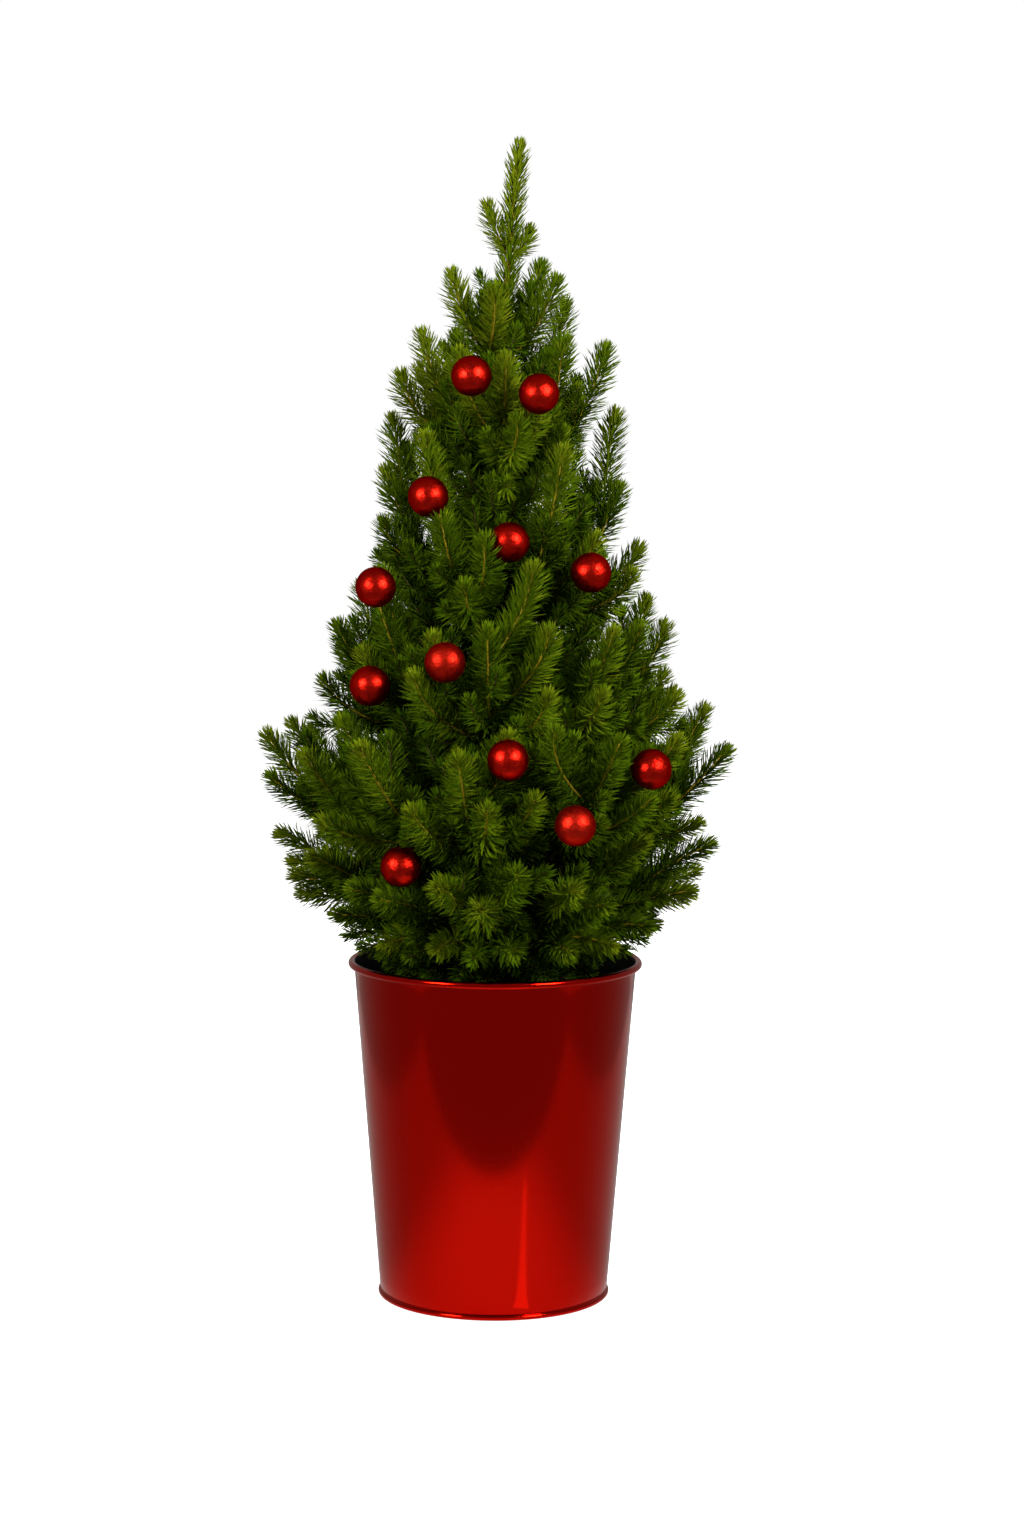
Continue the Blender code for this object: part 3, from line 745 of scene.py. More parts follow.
# %% [markdown]
# Baubles hang near the tips of shoots. Those that face the viewer are where the photograph shows
# them, and the others carry the same scatter round the sides and the back. Each is drawn out or
# pushed in until it leans on a twig and none runs through it: a front one along the line of sight,
# so that it stays where the photograph has it. This comes before the needles, as none may run
# through a ball.
# %% Where the baubles hang
BAUBLE_RADIUS = 11.7 * MM
FRONT_BAUBLES = ((256, 63, 552), (291, 66, 542), (239, 77, 483), (276, 67, 457), (308, 88, 440),
                 (214, 85, 430), (254, 105, 390), (229, 110, 375), (273, 136, 338), (311, 135, 330),
                 (290, 132, 300), (245, 126, 275))
BACK_BAUBLES = ((56, 52, 520), (92, 48, 552), (128, 54, 508), (138, 72, 442), (95, 70, 458),
                (58, 80, 430), (40, 96, 372), (80, 96, 390), (128, 96, 376), (50, 118, 318),
                (72, 118, 284), (103, 118, 330), (136, 120, 304), (116, 112, 264))
FREE = BAUBLE_RADIUS + 1.0 * MM
HELD = BAUBLE_RADIUS + 3.0 * MM
PUSH = 1.0 * MM
MOST_PUSHES = 60
growth_lines = stretches([shoot.line for shoot in growth])


def settled(centre, inwards):
    """A bauble's centre, drawn out until no twig runs through it or pushed in to lean on one."""
    for _ in range(MOST_PUSHES):
        space = distances([tuple(centre)], *growth_lines).min()
        if FREE <= space <= HELD:
            break
        centre = centre + inwards * (PUSH if space > HELD else -PUSH)
    return centre


bauble_centres = []
for spot in [place(*spot) for spot in FRONT_BAUBLES]:
    bauble_centres.append(settled(spot, (spot - Vector(CAMERA_PLACE)).normalized()))
for spot in [place(*spot) for spot in BACK_BAUBLES]:
    bauble_centres.append(settled(spot, Vector((-spot.x, -spot.y, 0.0)).normalized()))
print("baubles:", len(bauble_centres))

# %% [markdown]
# A needle has one plain colour out of six: the ends of shoots are a yellower green, and the inside
# of the crown is painted a deep green as painted shade, while the top of the tree is painted a
# shade lighter as painted light. Wax makes the roughness uneven. It also tints what little gloss
# there is, so that the white studio doesn't turn the needles grey.
# %% Needle colours
NEEDLE_GREENS = {
    "needle_deep": (0.014, 0.033, 0.0005),
    "needle_dark": (0.026, 0.055, 0.0009),
    "needle_mid": (0.042, 0.083, 0.0012),
    "needle_leaf": (0.070, 0.117, 0.002),
    "needle_fresh": (0.104, 0.143, 0.003),
    "needle_sunny": (0.138, 0.170, 0.005),
}
DARK, MID, LEAF = 1, 2, 3
WAX = {"Specular IOR Level": 0.08, "Specular Tint": (0.75, 1.0, 0.1, 1.0)}
needle_materials = []
for name, green in NEEDLE_GREENS.items():
    material = plain_material(name, green, 0.5, more=WAX)
    vary_roughness(material, 220.0, 0.38, 0.60)
    needle_materials.append(material)
print("needle colours:", list(NEEDLE_GREENS))

# %% [markdown]
# Where needles stand on a shoot: a station every few tenths of a millimetre, each turned by the
# golden angle, as real needles spiral. They lean forward, more so near the tip, where they close
# round the bud like a brush, and they are shorter there. On the shoot's outer underside they part
# to both sides, so the ochre stem shows as a line. All this is worked out for a whole shoot at
# once with arrays, since there are almost two hundred thousand needles. Lean, length and parting
# are read off by the millimetres that are left to the shoot's tip.
# %% Needle stations along a shoot
NEEDLE_LENGTH = (15.6 * MM, 15.3 * MM, 13.8 * MM, 14.0 * MM)
NEEDLE_STEP = (0.18 * MM, 0.18 * MM, 0.29 * MM, 0.42 * MM)
STEM_SURFACE = (1.0 * MM, 0.9 * MM, 0.5 * MM, 0.5 * MM)
ROOT_DEPTH = 0.8
FIRST_NEEDLE = 2.0 * MM
LEADER_STEP = 0.18 * MM
LEADER_SHORTENING = 0.85
LEADER_CLOSING = 0.72
LEAN_BY_DISTANCE = ((0, 24), (3, 33), (9, 43), (25, 53), (60, 58))
LENGTH_BY_DISTANCE = ((0, 0.46), (4, 0.68), (14, 0.95), (40, 1.0))
PARTING = math.radians(9)
PARTING_BY_DISTANCE = ((4, 0.0), (18, 1.0))
TUFT_REACH = 6.0 * MM
TUFT_NEEDLES = 10
TURN_SCATTER = 0.25
LEAN_SCATTER = 6.0
LENGTH_SPREAD = (0.82, 1.10)
ALMOST_UP = np.array([0.03, 0.02, 1.0])
needle_rng = np.random.default_rng(CROWN_SEED)


def unit(rows):
    return rows / np.linalg.norm(rows, axis=1, keepdims=True)


def needles_of(shoot):
    """Roots, tips and outward directions of a shoot's needles, and mm left to its tip."""
    points, along = measured(shoot.line)
    total = along[-1]
    on_leader = shoot.tier == "leader" and shoot.order == 0
    stations = np.arange(FIRST_NEEDLE, total, LEADER_STEP if on_leader else NEEDLE_STEP[shoot.order])
    stations = np.concatenate((stations, np.linspace(total - TUFT_REACH, total, TUFT_NEEDLES)))
    count = len(stations)
    left = (total - stations) / MM
    roots = read_rows(stations, along, points)
    ahead = unit(read_rows(stations, (along[1:] + along[:-1]) / 2, unit(np.diff(points, axis=0))))
    side = unit(np.cross(ahead, ALMOST_UP))
    under = np.cross(ahead, side)
    turns = np.arange(count) * GOLDEN + needle_rng.normal(0.0, TURN_SCATTER, count)
    turns = np.mod(turns, math.tau) - math.pi
    part = PARTING * np.interp(left, *zip(*PARTING_BY_DISTANCE)) * (0.0 if on_leader else 1.0)
    turns = np.sign(turns) * (part + (math.pi - part) * np.abs(turns) / math.pi)
    out = under * np.cos(turns)[:, None] + side * np.sin(turns)[:, None]
    lean = np.interp(left, *zip(*LEAN_BY_DISTANCE)) * (LEADER_CLOSING if on_leader else 1.0)
    lean = np.radians(lean + needle_rng.normal(0.0, LEAN_SCATTER, count))[:, None]
    size = np.interp(left, *zip(*LENGTH_BY_DISTANCE)) * needle_rng.uniform(*LENGTH_SPREAD, count)
    size *= NEEDLE_LENGTH[shoot.order] * (LEADER_SHORTENING if shoot.tier == "leader" else 1.0)
    surface = np.full(count, STEM_SURFACE[shoot.order])
    if on_leader:
        surface = np.array([trunk_radius(height) for height in roots[:, 2]])
    tips = roots + unit(ahead * np.cos(lean) + out * np.sin(lean)) * size[:, None]
    roots = roots + out * (surface * ROOT_DEPTH)[:, None]
    return roots, tips, out, left


print("needles on a 60 mm shoot:", int(60 * MM / NEEDLE_STEP[1]) + TUFT_NEEDLES)

# %% [markdown]
# A needle has four corners and four triangles, the fewest that close a shape: its root, its sharp
# tip, and one corner on either side. The side corners sit near the root and past two thirds of its
# length, so it keeps an even width between them, and both are pushed outwards, which gives the
# needle its thickness. One mesh takes thousands of them.
# %% Needle shape
NEEDLE_HALF_WIDTH = 0.66 * MM
LEFT_PLACE = 0.12
RIGHT_PLACE = 0.70
NEEDLE_BOW = 0.055
NEEDLE_FACES = np.array([(0, 1, 2), (0, 2, 3), (0, 3, 1), (2, 1, 3)])


def mesh_from_arrays(name, verts, faces, shades):
    """A mesh of triangles, straight from arrays, with a material index for each face."""
    mesh = bpy.data.meshes.new(name)
    mesh.vertices.add(len(verts))
    mesh.vertices.foreach_set("co", verts.astype(np.float32).ravel())
    mesh.loops.add(faces.size)
    mesh.loops.foreach_set("vertex_index", faces.astype(np.int32).ravel())
    mesh.polygons.add(len(faces))
    mesh.polygons.foreach_set("loop_start", np.arange(0, faces.size, 3, dtype=np.int32))
    mesh.polygons.foreach_set("material_index", shades.astype(np.int32))
    mesh.update(calc_edges=True)
    return mesh


def needle_mesh(name, roots, tips, out, shades):
    """One mesh of all the given needles."""
    run = tips - roots
    side = unit(np.cross(run, out)) * NEEDLE_HALF_WIDTH
    bow = out * np.linalg.norm(run, axis=1)[:, None] * NEEDLE_BOW
    left = roots + run * LEFT_PLACE + bow + side
    right = roots + run * RIGHT_PLACE + bow - side
    verts = np.stack([roots, left, right, tips], axis=1).reshape(-1, 3)
    firsts = (np.arange(len(roots)) * 4)[:, None, None]
    faces = (NEEDLE_FACES[None, :, :] + firsts).reshape(-1, 3)
    mesh = mesh_from_arrays(name, verts, faces, np.repeat(shades, len(NEEDLE_FACES)))
    mesh.shade_flat()
    return mesh


print("triangles in a needle:", len(NEEDLE_FACES))

# %% [markdown]
# Now every shoot and twig gets its needles, and a green by its place: fresh at the tip of an outer
# shoot, with painted shade that makes it deeper along the shoot and deepest inside the crown, and
# painted light that makes the top of the tree lighter. Half of the needles are a shade lighter or
# darker than their neighbours. A needle that would run through the pot, the soil or a bauble is
# left out.
# %% Needles on every shoot
NEEDLE_TESTS = (0.35, 0.7, 1.0)
NEEDLE_CLEARANCE = 1.2 * MM
FRESH_LENGTH = 9.0
SHADED_FROM = 46.0
SHADED_DEPTH = 0.7
DARKER_SHOOTS = 0.35
ODD_SHADES = (0.25, 0.50, 0.25)
# Twigs and inner shoots start from darker greens: painted shade for the depth of the crown.
BASE_SHADES = (LEAF, LEAF, MID, DARK)
TIERS_PAINTED_LIGHTER = ("leader", "top", "upper")


def shade_of(shoot, left):
    """Material index of each needle of a shoot."""
    tip = shoot.line[-1]
    depth = math.hypot(tip.x, tip.y) / (read_profile(CROWN_REACH, tip.z) * MM)
    shades = BASE_SHADES[shoot.order] + needle_rng.choice((-1, 0, 1), len(left), p=ODD_SHADES)
    # Painted shade: twigs deep inside the crown take a darker green.
    if shoot.order == 2 and depth < SHADED_DEPTH:
        shades -= 1
    if shoot.order < 2 and needle_rng.random() < DARKER_SHOOTS:
        shades -= 1
    # Painted light: the top tiers take a lighter green.
    if shoot.tier in TIERS_PAINTED_LIGHTER:
        shades += 1
    # Painted shade: needles far back from their shoot's tip take a darker green.
    shades[left > SHADED_FROM] -= 1
    if shoot.order < 2 and shoot.tier not in TIERS_PAINTED_LIGHTER:
        shades[left < FRESH_LENGTH] += 1
    return np.clip(shades, 0, len(NEEDLE_GREENS) - 1)


def has_space(roots, tips):
    """True for needles that miss the pot, the soil and every bauble."""
    inside = np.hypot(tips[:, 0], tips[:, 1]) < POT_WALL_INSIDE - NEEDLE_CLEARANCE
    keep = tips[:, 2] > np.where(inside, SOIL_LEVEL, POT_HEIGHT) + NEEDLE_CLEARANCE
    for centre in bauble_centres:
        for share in NEEDLE_TESTS:
            spots = roots + (tips - roots) * share
            keep &= np.linalg.norm(spots - np.array(centre), axis=1) > BAUBLE_RADIUS
    return keep


needle_sets = {}
for shoot in growth:
    roots, tips, out, left = needles_of(shoot)
    needle_sets.setdefault(shoot.tier, []).append((roots, tips, out, shade_of(shoot, left)))
print("tiers:", list(needle_sets))

# %% [markdown]
# Each tier's needles are joined into one to a few pieces of fewer than 200,000 triangles, and the
# first of them stands for the tier's solid masses.
# %% Join the needles
MOST_NEEDLES = 48000


def add_mesh(mesh, slot, materials, *replaced):
    """A mesh that was built from arrays becomes a piece of the plant."""
    for material in materials:
        mesh.materials.append(material)
    piece = bpy.data.objects.new(mesh.name, mesh)
    bpy.context.scene.collection.objects.link(piece)
    add_to_plant(piece, slot, *replaced)


needle_total = 0
for tier, sets in needle_sets.items():
    roots, tips, out, shades = (np.concatenate(columns) for columns in zip(*sets))
    kept = np.flatnonzero(has_space(roots, tips))
    needle_total += len(kept)
    masses = [node for node in node_names if node.startswith(f"needles_{tier}")]
    for number, picked in enumerate(np.array_split(kept, math.ceil(len(kept) / MOST_NEEDLES)), 1):
        name = f"spruce_needles_{tier}_{number}"
        mesh = needle_mesh(name, roots[picked], tips[picked], out[picked], shades[picked])
        add_mesh(mesh, "needles", needle_materials, *(masses if number == 1 else ()))
print("needles:", needle_total, "triangles:", needle_total * len(NEEDLE_FACES))

# %% [markdown]
# Stems, boughs and wires are tapered tubes, and there are hundreds of them. So their corners too are
# worked out in arrays, and many tubes are joined into one mesh.
# %% Tools for tubes
def tube_arrays(line, radii, sides):
    """Corners and triangles of one closed tapered tube."""
    verts, faces = [], []
    count = len(line)
    for index, point in enumerate(line):
        ahead = (line[min(index + 1, count - 1)] - line[max(index - 1, 0)]).normalized()
        side, across = crossways(ahead)
        for step in range(sides):
            turn = math.tau * step / sides
            verts.append(tuple(point + (side * math.cos(turn) + across * math.sin(turn)) * radii[index]))
    for a in range((count - 1) * sides):
        b = a + 1 if (a + 1) % sides else a + 1 - sides
        faces += [(a, b, b + sides), (a, b + sides, a + sides)]
    last = (count - 1) * sides
    faces += [(0, step + 1, step) for step in range(1, sides - 1)]
    faces += [(last, last + step, last + step + 1) for step in range(1, sides - 1)]
    return np.array(verts), np.array(faces)


def joined_tubes(name, tubes, shades):
    """One mesh of many tubes, with a material index for each tube."""
    counts = np.cumsum([0] + [len(verts) for verts, _ in tubes])
    verts = np.concatenate([verts for verts, _ in tubes])
    faces = np.concatenate([faces + first for (_, faces), first in zip(tubes, counts)])
    picked = np.concatenate([np.full(len(faces), shade) for (_, faces), shade in zip(tubes, shades)])
    mesh = mesh_from_arrays(name, verts, faces, picked)
    mesh.shade_smooth()
    return mesh


print("tube tools ready")

# %% [markdown]
# Young wood is ochre and shows as a bright line down the middle of a shoot, and the stems of the
# finer twigs, deeper in the crown, are painted a dull brown as painted shade. They make one piece
# to a tier.
# %% Young stems
young_bark = plain_material("young_bark", (0.22, 0.16, 0.005), 0.65, more={"Specular IOR Level": 0.15})
vary_roughness(young_bark, 400.0, 0.5, 0.8)
# The dull brown of the finer twigs' stems is painted shade.
shaded_bark = plain_material("shaded_bark", (0.055, 0.045, 0.010), 0.75, more={"Specular IOR Level": 0.10})
vary_roughness(shaded_bark, 400.0, 0.6, 0.9)
STEM_SIDES = 5
STEM_ROOT = (1.05 * MM, 0.90 * MM, 0.55 * MM, 0.60 * MM)
STEM_TIP = 0.40 * MM
for tier in needle_sets:
    stems = [s for s in growth if s.tier == tier and not (tier == "leader" and s.order == 0)]
    tubes = []
    for stem in stems:
        radii = np.linspace(STEM_ROOT[stem.order], STEM_TIP, len(stem.line))
        tubes.append(tube_arrays(stem.line, radii, STEM_SIDES))
    mesh = joined_tubes(f"young_stems_{tier}", tubes, [int(stem.order > 1) for stem in stems])
    add_mesh(mesh, "bark", (young_bark, shaded_bark))
print("young stems:", len(growth) - 1)

# %% [markdown]
# Trunk and pot are round shapes whose size changes along a line. They are drawn out as by hand: a
# flat circle is extruded ring by ring in edit mode, and each ring is moved and resized. Bark, soil
# and baubles get their unevenness from a displacement by a procedural texture.
# %% Tools for round and rough shapes
def edit_faces(action):
    """Edit mode on faces, with all or none of them selected."""
    bpy.ops.object.mode_set(mode="EDIT")
    bpy.ops.mesh.select_mode(type="FACE")
    bpy.ops.mesh.select_all(action=action)


def drawn_out(sides, heights, radii, centres):
    """A flat circle, extruded through rings at given heights, sizes and centres."""
    select_only()
    bpy.ops.mesh.primitive_circle_add(vertices=sides, radius=radii[0], fill_type="NGON",
                                      location=centres[0])
    shape = bpy.context.object
    bpy.ops.object.transform_apply(location=True)
    edit_faces("SELECT")
    for number in range(1, len(heights)):
        move = centres[number] - centres[number - 1]
        move.z = heights[number] - heights[number - 1]
        bpy.ops.mesh.extrude_region_move(TRANSFORM_OT_translate={"value": move})
        scale = radii[number] / radii[number - 1]
        at = (centres[number].x, centres[number].y, heights[number])
        bpy.ops.transform.resize(value=(scale, scale, 1.0), center_override=at)
    bpy.ops.mesh.select_all(action="SELECT")
    bpy.ops.mesh.normals_make_consistent(inside=False)
    bpy.ops.object.mode_set(mode="OBJECT")
    return shape


def displace(piece, name, kind, grain, amount, middle, direction="NORMAL"):
    """Push a piece's corners out and in by a procedural texture, once it is applied."""
    texture = bpy.data.textures.new(name, kind)
    texture.noise_scale = grain
    push = piece.modifiers.new(name, "DISPLACE")
    push.texture = texture
    push.strength = amount
    push.mid_level = middle
    push.direction = direction


print("shaping tools ready")

# %% [markdown]
# Old wood is grey brown and breaks into small plates. The trunk starts in the soil and follows its
# own line and taper upwards. A fine displacement then lifts the plates, and is applied. Near the
# tip the wood is young and ochre.
# %% Trunk
old_bark = plain_material("old_bark", (0.09, 0.06, 0.035), 0.9)
vary_colour(old_bark, 160.0, (0.050, 0.033, 0.020), (0.095, 0.064, 0.038), (0.150, 0.105, 0.060))
add_relief(old_bark, 420.0, 0.6, 0.4 * MM)
TRUNK_SIDES = 20
FOOT_RINGS = (SOIL_LEVEL - 3 * MM, SOIL_LEVEL + 2 * MM)
STEM_RINGS = np.linspace(0.178, TRUNK_TOP, 90)
PLATE_SIZE = 3.2 * MM
PLATE_LIFT = 0.9 * MM
PLATE_MIDDLE = 0.6
YOUNG_WOOD_FROM = 560.0 * MM
ring_heights = np.concatenate((FOOT_RINGS, STEM_RINGS))
ring_radii = [trunk_radius(height) for height in ring_heights]
trunk = drawn_out(TRUNK_SIDES, ring_heights, ring_radii, [trunk_centre(height) for height in ring_heights])
displace(trunk, "bark_plates", "VORONOI", PLATE_SIZE, PLATE_LIFT, PLATE_MIDDLE)
apply_modifiers(trunk)
settle(trunk, "spruce_trunk", old_bark, young_bark)
for face in trunk.data.polygons:
    face.material_index = int(face.center.z > YOUNG_WOOD_FROM)
trunk.data.shade_smooth()
add_to_plant(trunk, "bark", "trunk")
print("trunk corners:", len(trunk.data.vertices))

# %% [markdown]
# The bare boughs are the same wood. There are 21, all alike but for their line, so they are built
# as tapered tubes, joined, and given the same displaced plates. The root of each goes a little way
# into the trunk, as a limb does, and swells there.
# %% Boughs
BOUGH_SIDES = 10
BOUGH_RINGS = 26
BOUGH_PLATE_SIZE = 2.2 * MM
BOUGH_PLATE_LIFT = 0.6 * PLATE_LIFT
ROOT_DROP = 1.5 * MM
COLLAR = 1.3 * MM
COLLAR_FADE = 16
shares = np.linspace(0.0, 1.0, BOUGH_RINGS)
bough_radii = BOUGH_ROOT_RADIUS + (BOUGH_TIP_RADIUS - BOUGH_ROOT_RADIUS) * shares
bough_radii = bough_radii + COLLAR * np.exp(-shares * COLLAR_FADE)
bough_tubes = []
for _, line in boughs:
    run = part_of(line, 0.0, 1.0, BOUGH_RINGS)
    root = trunk_centre(run[0].z - ROOT_DROP)
    bough_tubes.append(tube_arrays([root] + run, [bough_radii[0], *bough_radii], BOUGH_SIDES))
mesh = joined_tubes("spruce_boughs", bough_tubes, [0] * len(boughs))
wood = bpy.data.objects.new("spruce_boughs", mesh)
bpy.context.scene.collection.objects.link(wood)
displace(wood, "bough_plates", "VORONOI", BOUGH_PLATE_SIZE, BOUGH_PLATE_LIFT, PLATE_MIDDLE)
apply_modifiers(wood)
wood.data.materials.append(old_bark)
add_to_plant(wood, "bark", *[name for name, _ in boughs])
print("bough corners:", len(wood.data.vertices))

# %% [markdown]
# The pot is thin tin under candy-red metallic lacquer: a plain cone, rolled outwards at its rim
# and beaded at its foot, with a fine groove above the bead. Spinning an outline would do, but
# drawing a circle out ring by ring, over the rim and down the inside, shows how the tin runs.
# %% Pot's shape
POT_SIDES = 180
POT_WALL_TOP = 85.2
POT_WALL_FOOT = 68.6
TIN = 0.9
RIM_RING = 86.3
RIM_BEAD = 2.2
RIM_CENTRE = POT_HEIGHT / MM - RIM_BEAD
FOOT_RING = 68.45
FOOT_BEAD = 1.65
FOOT_EDGE = (67.6, 0.0)
FLOOR_EDGE = (66.0, 1.5)
BEAD_STEP = 15
GROOVE = ((3.7, 0.35), (4.2, 0.3), (4.9, 0.0))
OUTER_RINGS = (12.0, 40.0, 80.0, 120.0, 160.0, 190.0, 197.0)
INNER_RINGS = (197.0, 185.0, 160.0, 120.0, 60.0, 4.0)


def wall_radius(height):
    """Outside radius of the straight wall at a height, both in mm."""
    return POT_WALL_FOOT + (POT_WALL_TOP - POT_WALL_FOOT) * height / (POT_HEIGHT / MM)


def bead(reach, height, radius, first, last):
    """Points round a bead's section, from one angle to another in degrees."""
    turns = [math.radians(turn) for turn in range(first, last + 1, BEAD_STEP)]
    return [(reach + radius * math.cos(turn), height + radius * math.sin(turn)) for turn in turns]


outline = [FOOT_EDGE]
outline += bead(FOOT_RING, FOOT_BEAD, FOOT_BEAD, -75, 75)
outline += [(wall_radius(height) - depth, height) for height, depth in GROOVE]
outline += [(wall_radius(height), height) for height in OUTER_RINGS]
outline += bead(RIM_RING, RIM_CENTRE, RIM_BEAD, -120, 195)
outline += [(wall_radius(height) - TIN, height) for height in INNER_RINGS]
outline += [FLOOR_EDGE]
radii = [radius * MM for radius, _ in outline]
heights = [height * MM for _, height in outline]
pot = drawn_out(POT_SIDES, heights, radii, [Vector((0.0, 0.0, height)) for height in heights])
print("pot rings:", len(outline), "corners:", len(pot.data.vertices))

# %% [markdown]
# Lacquer on tin: a metallic red whose flakes are a fraction of a millimetre, so a very fine noise
# moves its relief and roughness. Inside, the tin is a dull near-black. The pot's wall is one
# sheet bent round, and its seam runs down the back, so a few columns of corners are raised there.
# %% Pot's finish
TIN_TINT = {"Specular Tint": (0.88, 0.85, 0.80, 1.0)}
red_lacquer = plain_material("red_lacquer", (0.43, 0.004, 0.001), 0.13, 1.0, more=TIN_TINT)
vary_roughness(red_lacquer, 900.0, 0.10, 0.16)
add_relief(red_lacquer, 1700.0, 0.16, 0.03 * MM, 2.0)
# The pot's inside is a dull near-black.
dark_inner_tin = plain_material("dark_inner_tin", (0.010, 0.012, 0.011), 0.6)
vary_roughness(dark_inner_tin, 90.0, 0.5, 0.7)
SEAM_HEADING = math.radians(90)
SEAM_WIDTH = math.radians(2.2)
SEAM_RAISE = 0.35 * MM
SEAM_ENDS = (5.0, 198.0)
SEAM_SLACK = 0.2
FLOOR_FROM = 1.2 * MM
SHARPEST_SMOOTH = math.radians(40)
settle(pot, "tin_pot", red_lacquer, dark_inner_tin)
for corner in pot.data.vertices:
    turn = math.atan2(corner.co.y, corner.co.x)
    reach = math.hypot(corner.co.x, corner.co.y)
    height = corner.co.z / MM
    on_wall = SEAM_ENDS[0] < height < SEAM_ENDS[1] and reach > (wall_radius(height) - SEAM_SLACK) * MM
    if on_wall and abs(turn - SEAM_HEADING) < SEAM_WIDTH:
        corner.co.x *= 1.0 + SEAM_RAISE / reach
        corner.co.y *= 1.0 + SEAM_RAISE / reach
for face in pot.data.polygons:
    reach = math.hypot(face.center.x, face.center.y)
    if face.center.z > FLOOR_FROM and reach < (wall_radius(face.center.z / MM) - 0.5 * TIN) * MM:
        face.material_index = 1
select_only(pot)
bpy.ops.object.shade_smooth_by_angle(angle=SHARPEST_SMOOTH)
add_to_plant(pot, "red_tin", "pot")
print("inside faces:", sum(face.material_index for face in pot.data.polygons))

# %% [markdown]
# Peat and bark compost, a little mounded to the trunk. The top of a filled cylinder is cut finer,
# shaped into the mound and then lifted and dropped by two sizes of noise. It ends just inside the
# pot's wall.
# %% Soil
earth = plain_material("earth", (0.03, 0.02, 0.012), 0.95)
vary_colour(earth, 240.0, (0.012, 0.008, 0.005), (0.032, 0.021, 0.013), (0.060, 0.040, 0.024))
add_relief(earth, 700.0, 0.8, 0.6 * MM)
SOIL_SIDES = 64
SOIL_CUTS = 9
SOIL_DEPTH = 20.0 * MM
SOIL_GAP = 0.3
SOIL_REACH = (wall_radius(160.0) - TIN - SOIL_GAP) * MM
SOIL_DROP = 3.0 * MM
SOIL_EDGE = 0.5 * MM
FACING_UP = 0.9
SOIL_LUMPS = (("clods", 14.0 * MM, 4.0 * MM), ("crumbs", 3.5 * MM, 1.8 * MM))
LUMP_MIDDLE = 0.55


def select_faces(piece, wanted):
    """Edit mode, with only the faces selected that pass a test."""
    edit_faces("DESELECT")
    bpy.ops.object.mode_set(mode="OBJECT")
    for face in piece.data.polygons:
        face.select = wanted(face)
    bpy.ops.object.mode_set(mode="EDIT")


select_only()
soil_middle = SOIL_LEVEL - SOIL_DEPTH / 2 - SOIL_DROP
bpy.ops.mesh.primitive_cylinder_add(vertices=SOIL_SIDES, radius=SOIL_REACH, depth=SOIL_DEPTH,
                                    end_fill_type="TRIFAN", location=(0.0, 0.0, soil_middle))
soil = bpy.context.object
bpy.ops.object.transform_apply(location=True)
select_faces(soil, lambda face: face.normal.z > FACING_UP)
bpy.ops.mesh.subdivide(number_cuts=SOIL_CUTS)
bpy.ops.object.mode_set(mode="OBJECT")
top_height = SOIL_LEVEL - SOIL_DROP - 0.1 * MM
for corner in soil.data.vertices:
    reach = math.hypot(corner.co.x, corner.co.y)
    if corner.co.z > top_height and reach < SOIL_REACH - SOIL_EDGE:
        corner.co.z += SOIL_DROP * (1.0 - reach / SOIL_REACH)
for name, grain, amount in SOIL_LUMPS:
    displace(soil, name, "CLOUDS", grain, amount, LUMP_MIDDLE, "Z")
apply_modifiers(soil)
settle(soil, "potting_soil", earth)
soil.data.shade_smooth()
add_to_plant(soil, "soil", "soil")
print("soil corners:", len(soil.data.vertices))

# %% [markdown]
# Chips of bark lie on the soil. One chip is a wedge of eight corners, and each copy in the arrays
# is turned, stretched and laid at its own spot.
# %% Bark chips
CHIPS = 240
CHIP_SPREAD = (0.02, 0.92)
CHIP_MARGIN = 3 * MM
CHIP_TILT = 0.25
CHIP_LEAST = (1.4, 0.9, 0.4)
CHIP_MOST = (4.2, 2.4, 1.0)
CHIP_SINK = 0.6 * MM
chip_bark = plain_material("chip_bark", (0.07, 0.04, 0.02), 0.9)
vary_colour(chip_bark, 90.0, (0.030, 0.018, 0.010), (0.075, 0.045, 0.025), (0.130, 0.085, 0.050))
CHIP_CORNERS = np.array([(-1, -1, -1), (1, -0.8, -1), (0.9, 1, -1), (-0.8, 0.9, -1),
                         (-0.7, -0.6, 1), (0.6, -0.7, 0.7), (0.7, 0.6, 1), (-0.9, 0.5, 0.8)])
CHIP_FACES = np.array([(0, 2, 1), (0, 3, 2), (4, 5, 6), (4, 6, 7), (0, 1, 5), (0, 5, 4),
                       (1, 2, 6), (1, 6, 5), (2, 3, 7), (2, 7, 6), (3, 0, 4), (3, 4, 7)])
chip_rng = np.random.default_rng(CROWN_SEED + 2)
chips = []
for number in range(CHIPS):
    reach = math.sqrt(chip_rng.uniform(*CHIP_SPREAD)) * (SOIL_REACH - CHIP_MARGIN)
    turn, tilt = chip_rng.uniform(0, math.tau), chip_rng.normal(0.0, CHIP_TILT)
    corners = CHIP_CORNERS * (chip_rng.uniform(CHIP_LEAST, CHIP_MOST) * MM)
    cos, sin = math.cos(tilt), math.sin(tilt)
    corners = corners @ np.array([(cos, 0, sin), (0, 1, 0), (-sin, 0, cos)])
    cos, sin = math.cos(turn), math.sin(turn)
    corners = corners @ np.array([(cos, sin, 0), (-sin, cos, 0), (0, 0, 1)])
    heading = number * GOLDEN
    height = SOIL_LEVEL - SOIL_DROP * reach / SOIL_REACH - CHIP_SINK
    spot = np.array((reach * math.cos(heading), reach * math.sin(heading), height))
    chips.append((corners + spot, CHIP_FACES))
mesh = joined_tubes("bark_chips", chips, [0] * CHIPS)
mesh.shade_flat()
add_mesh(mesh, "soil", (chip_bark,))
print("bark chips:", CHIPS)

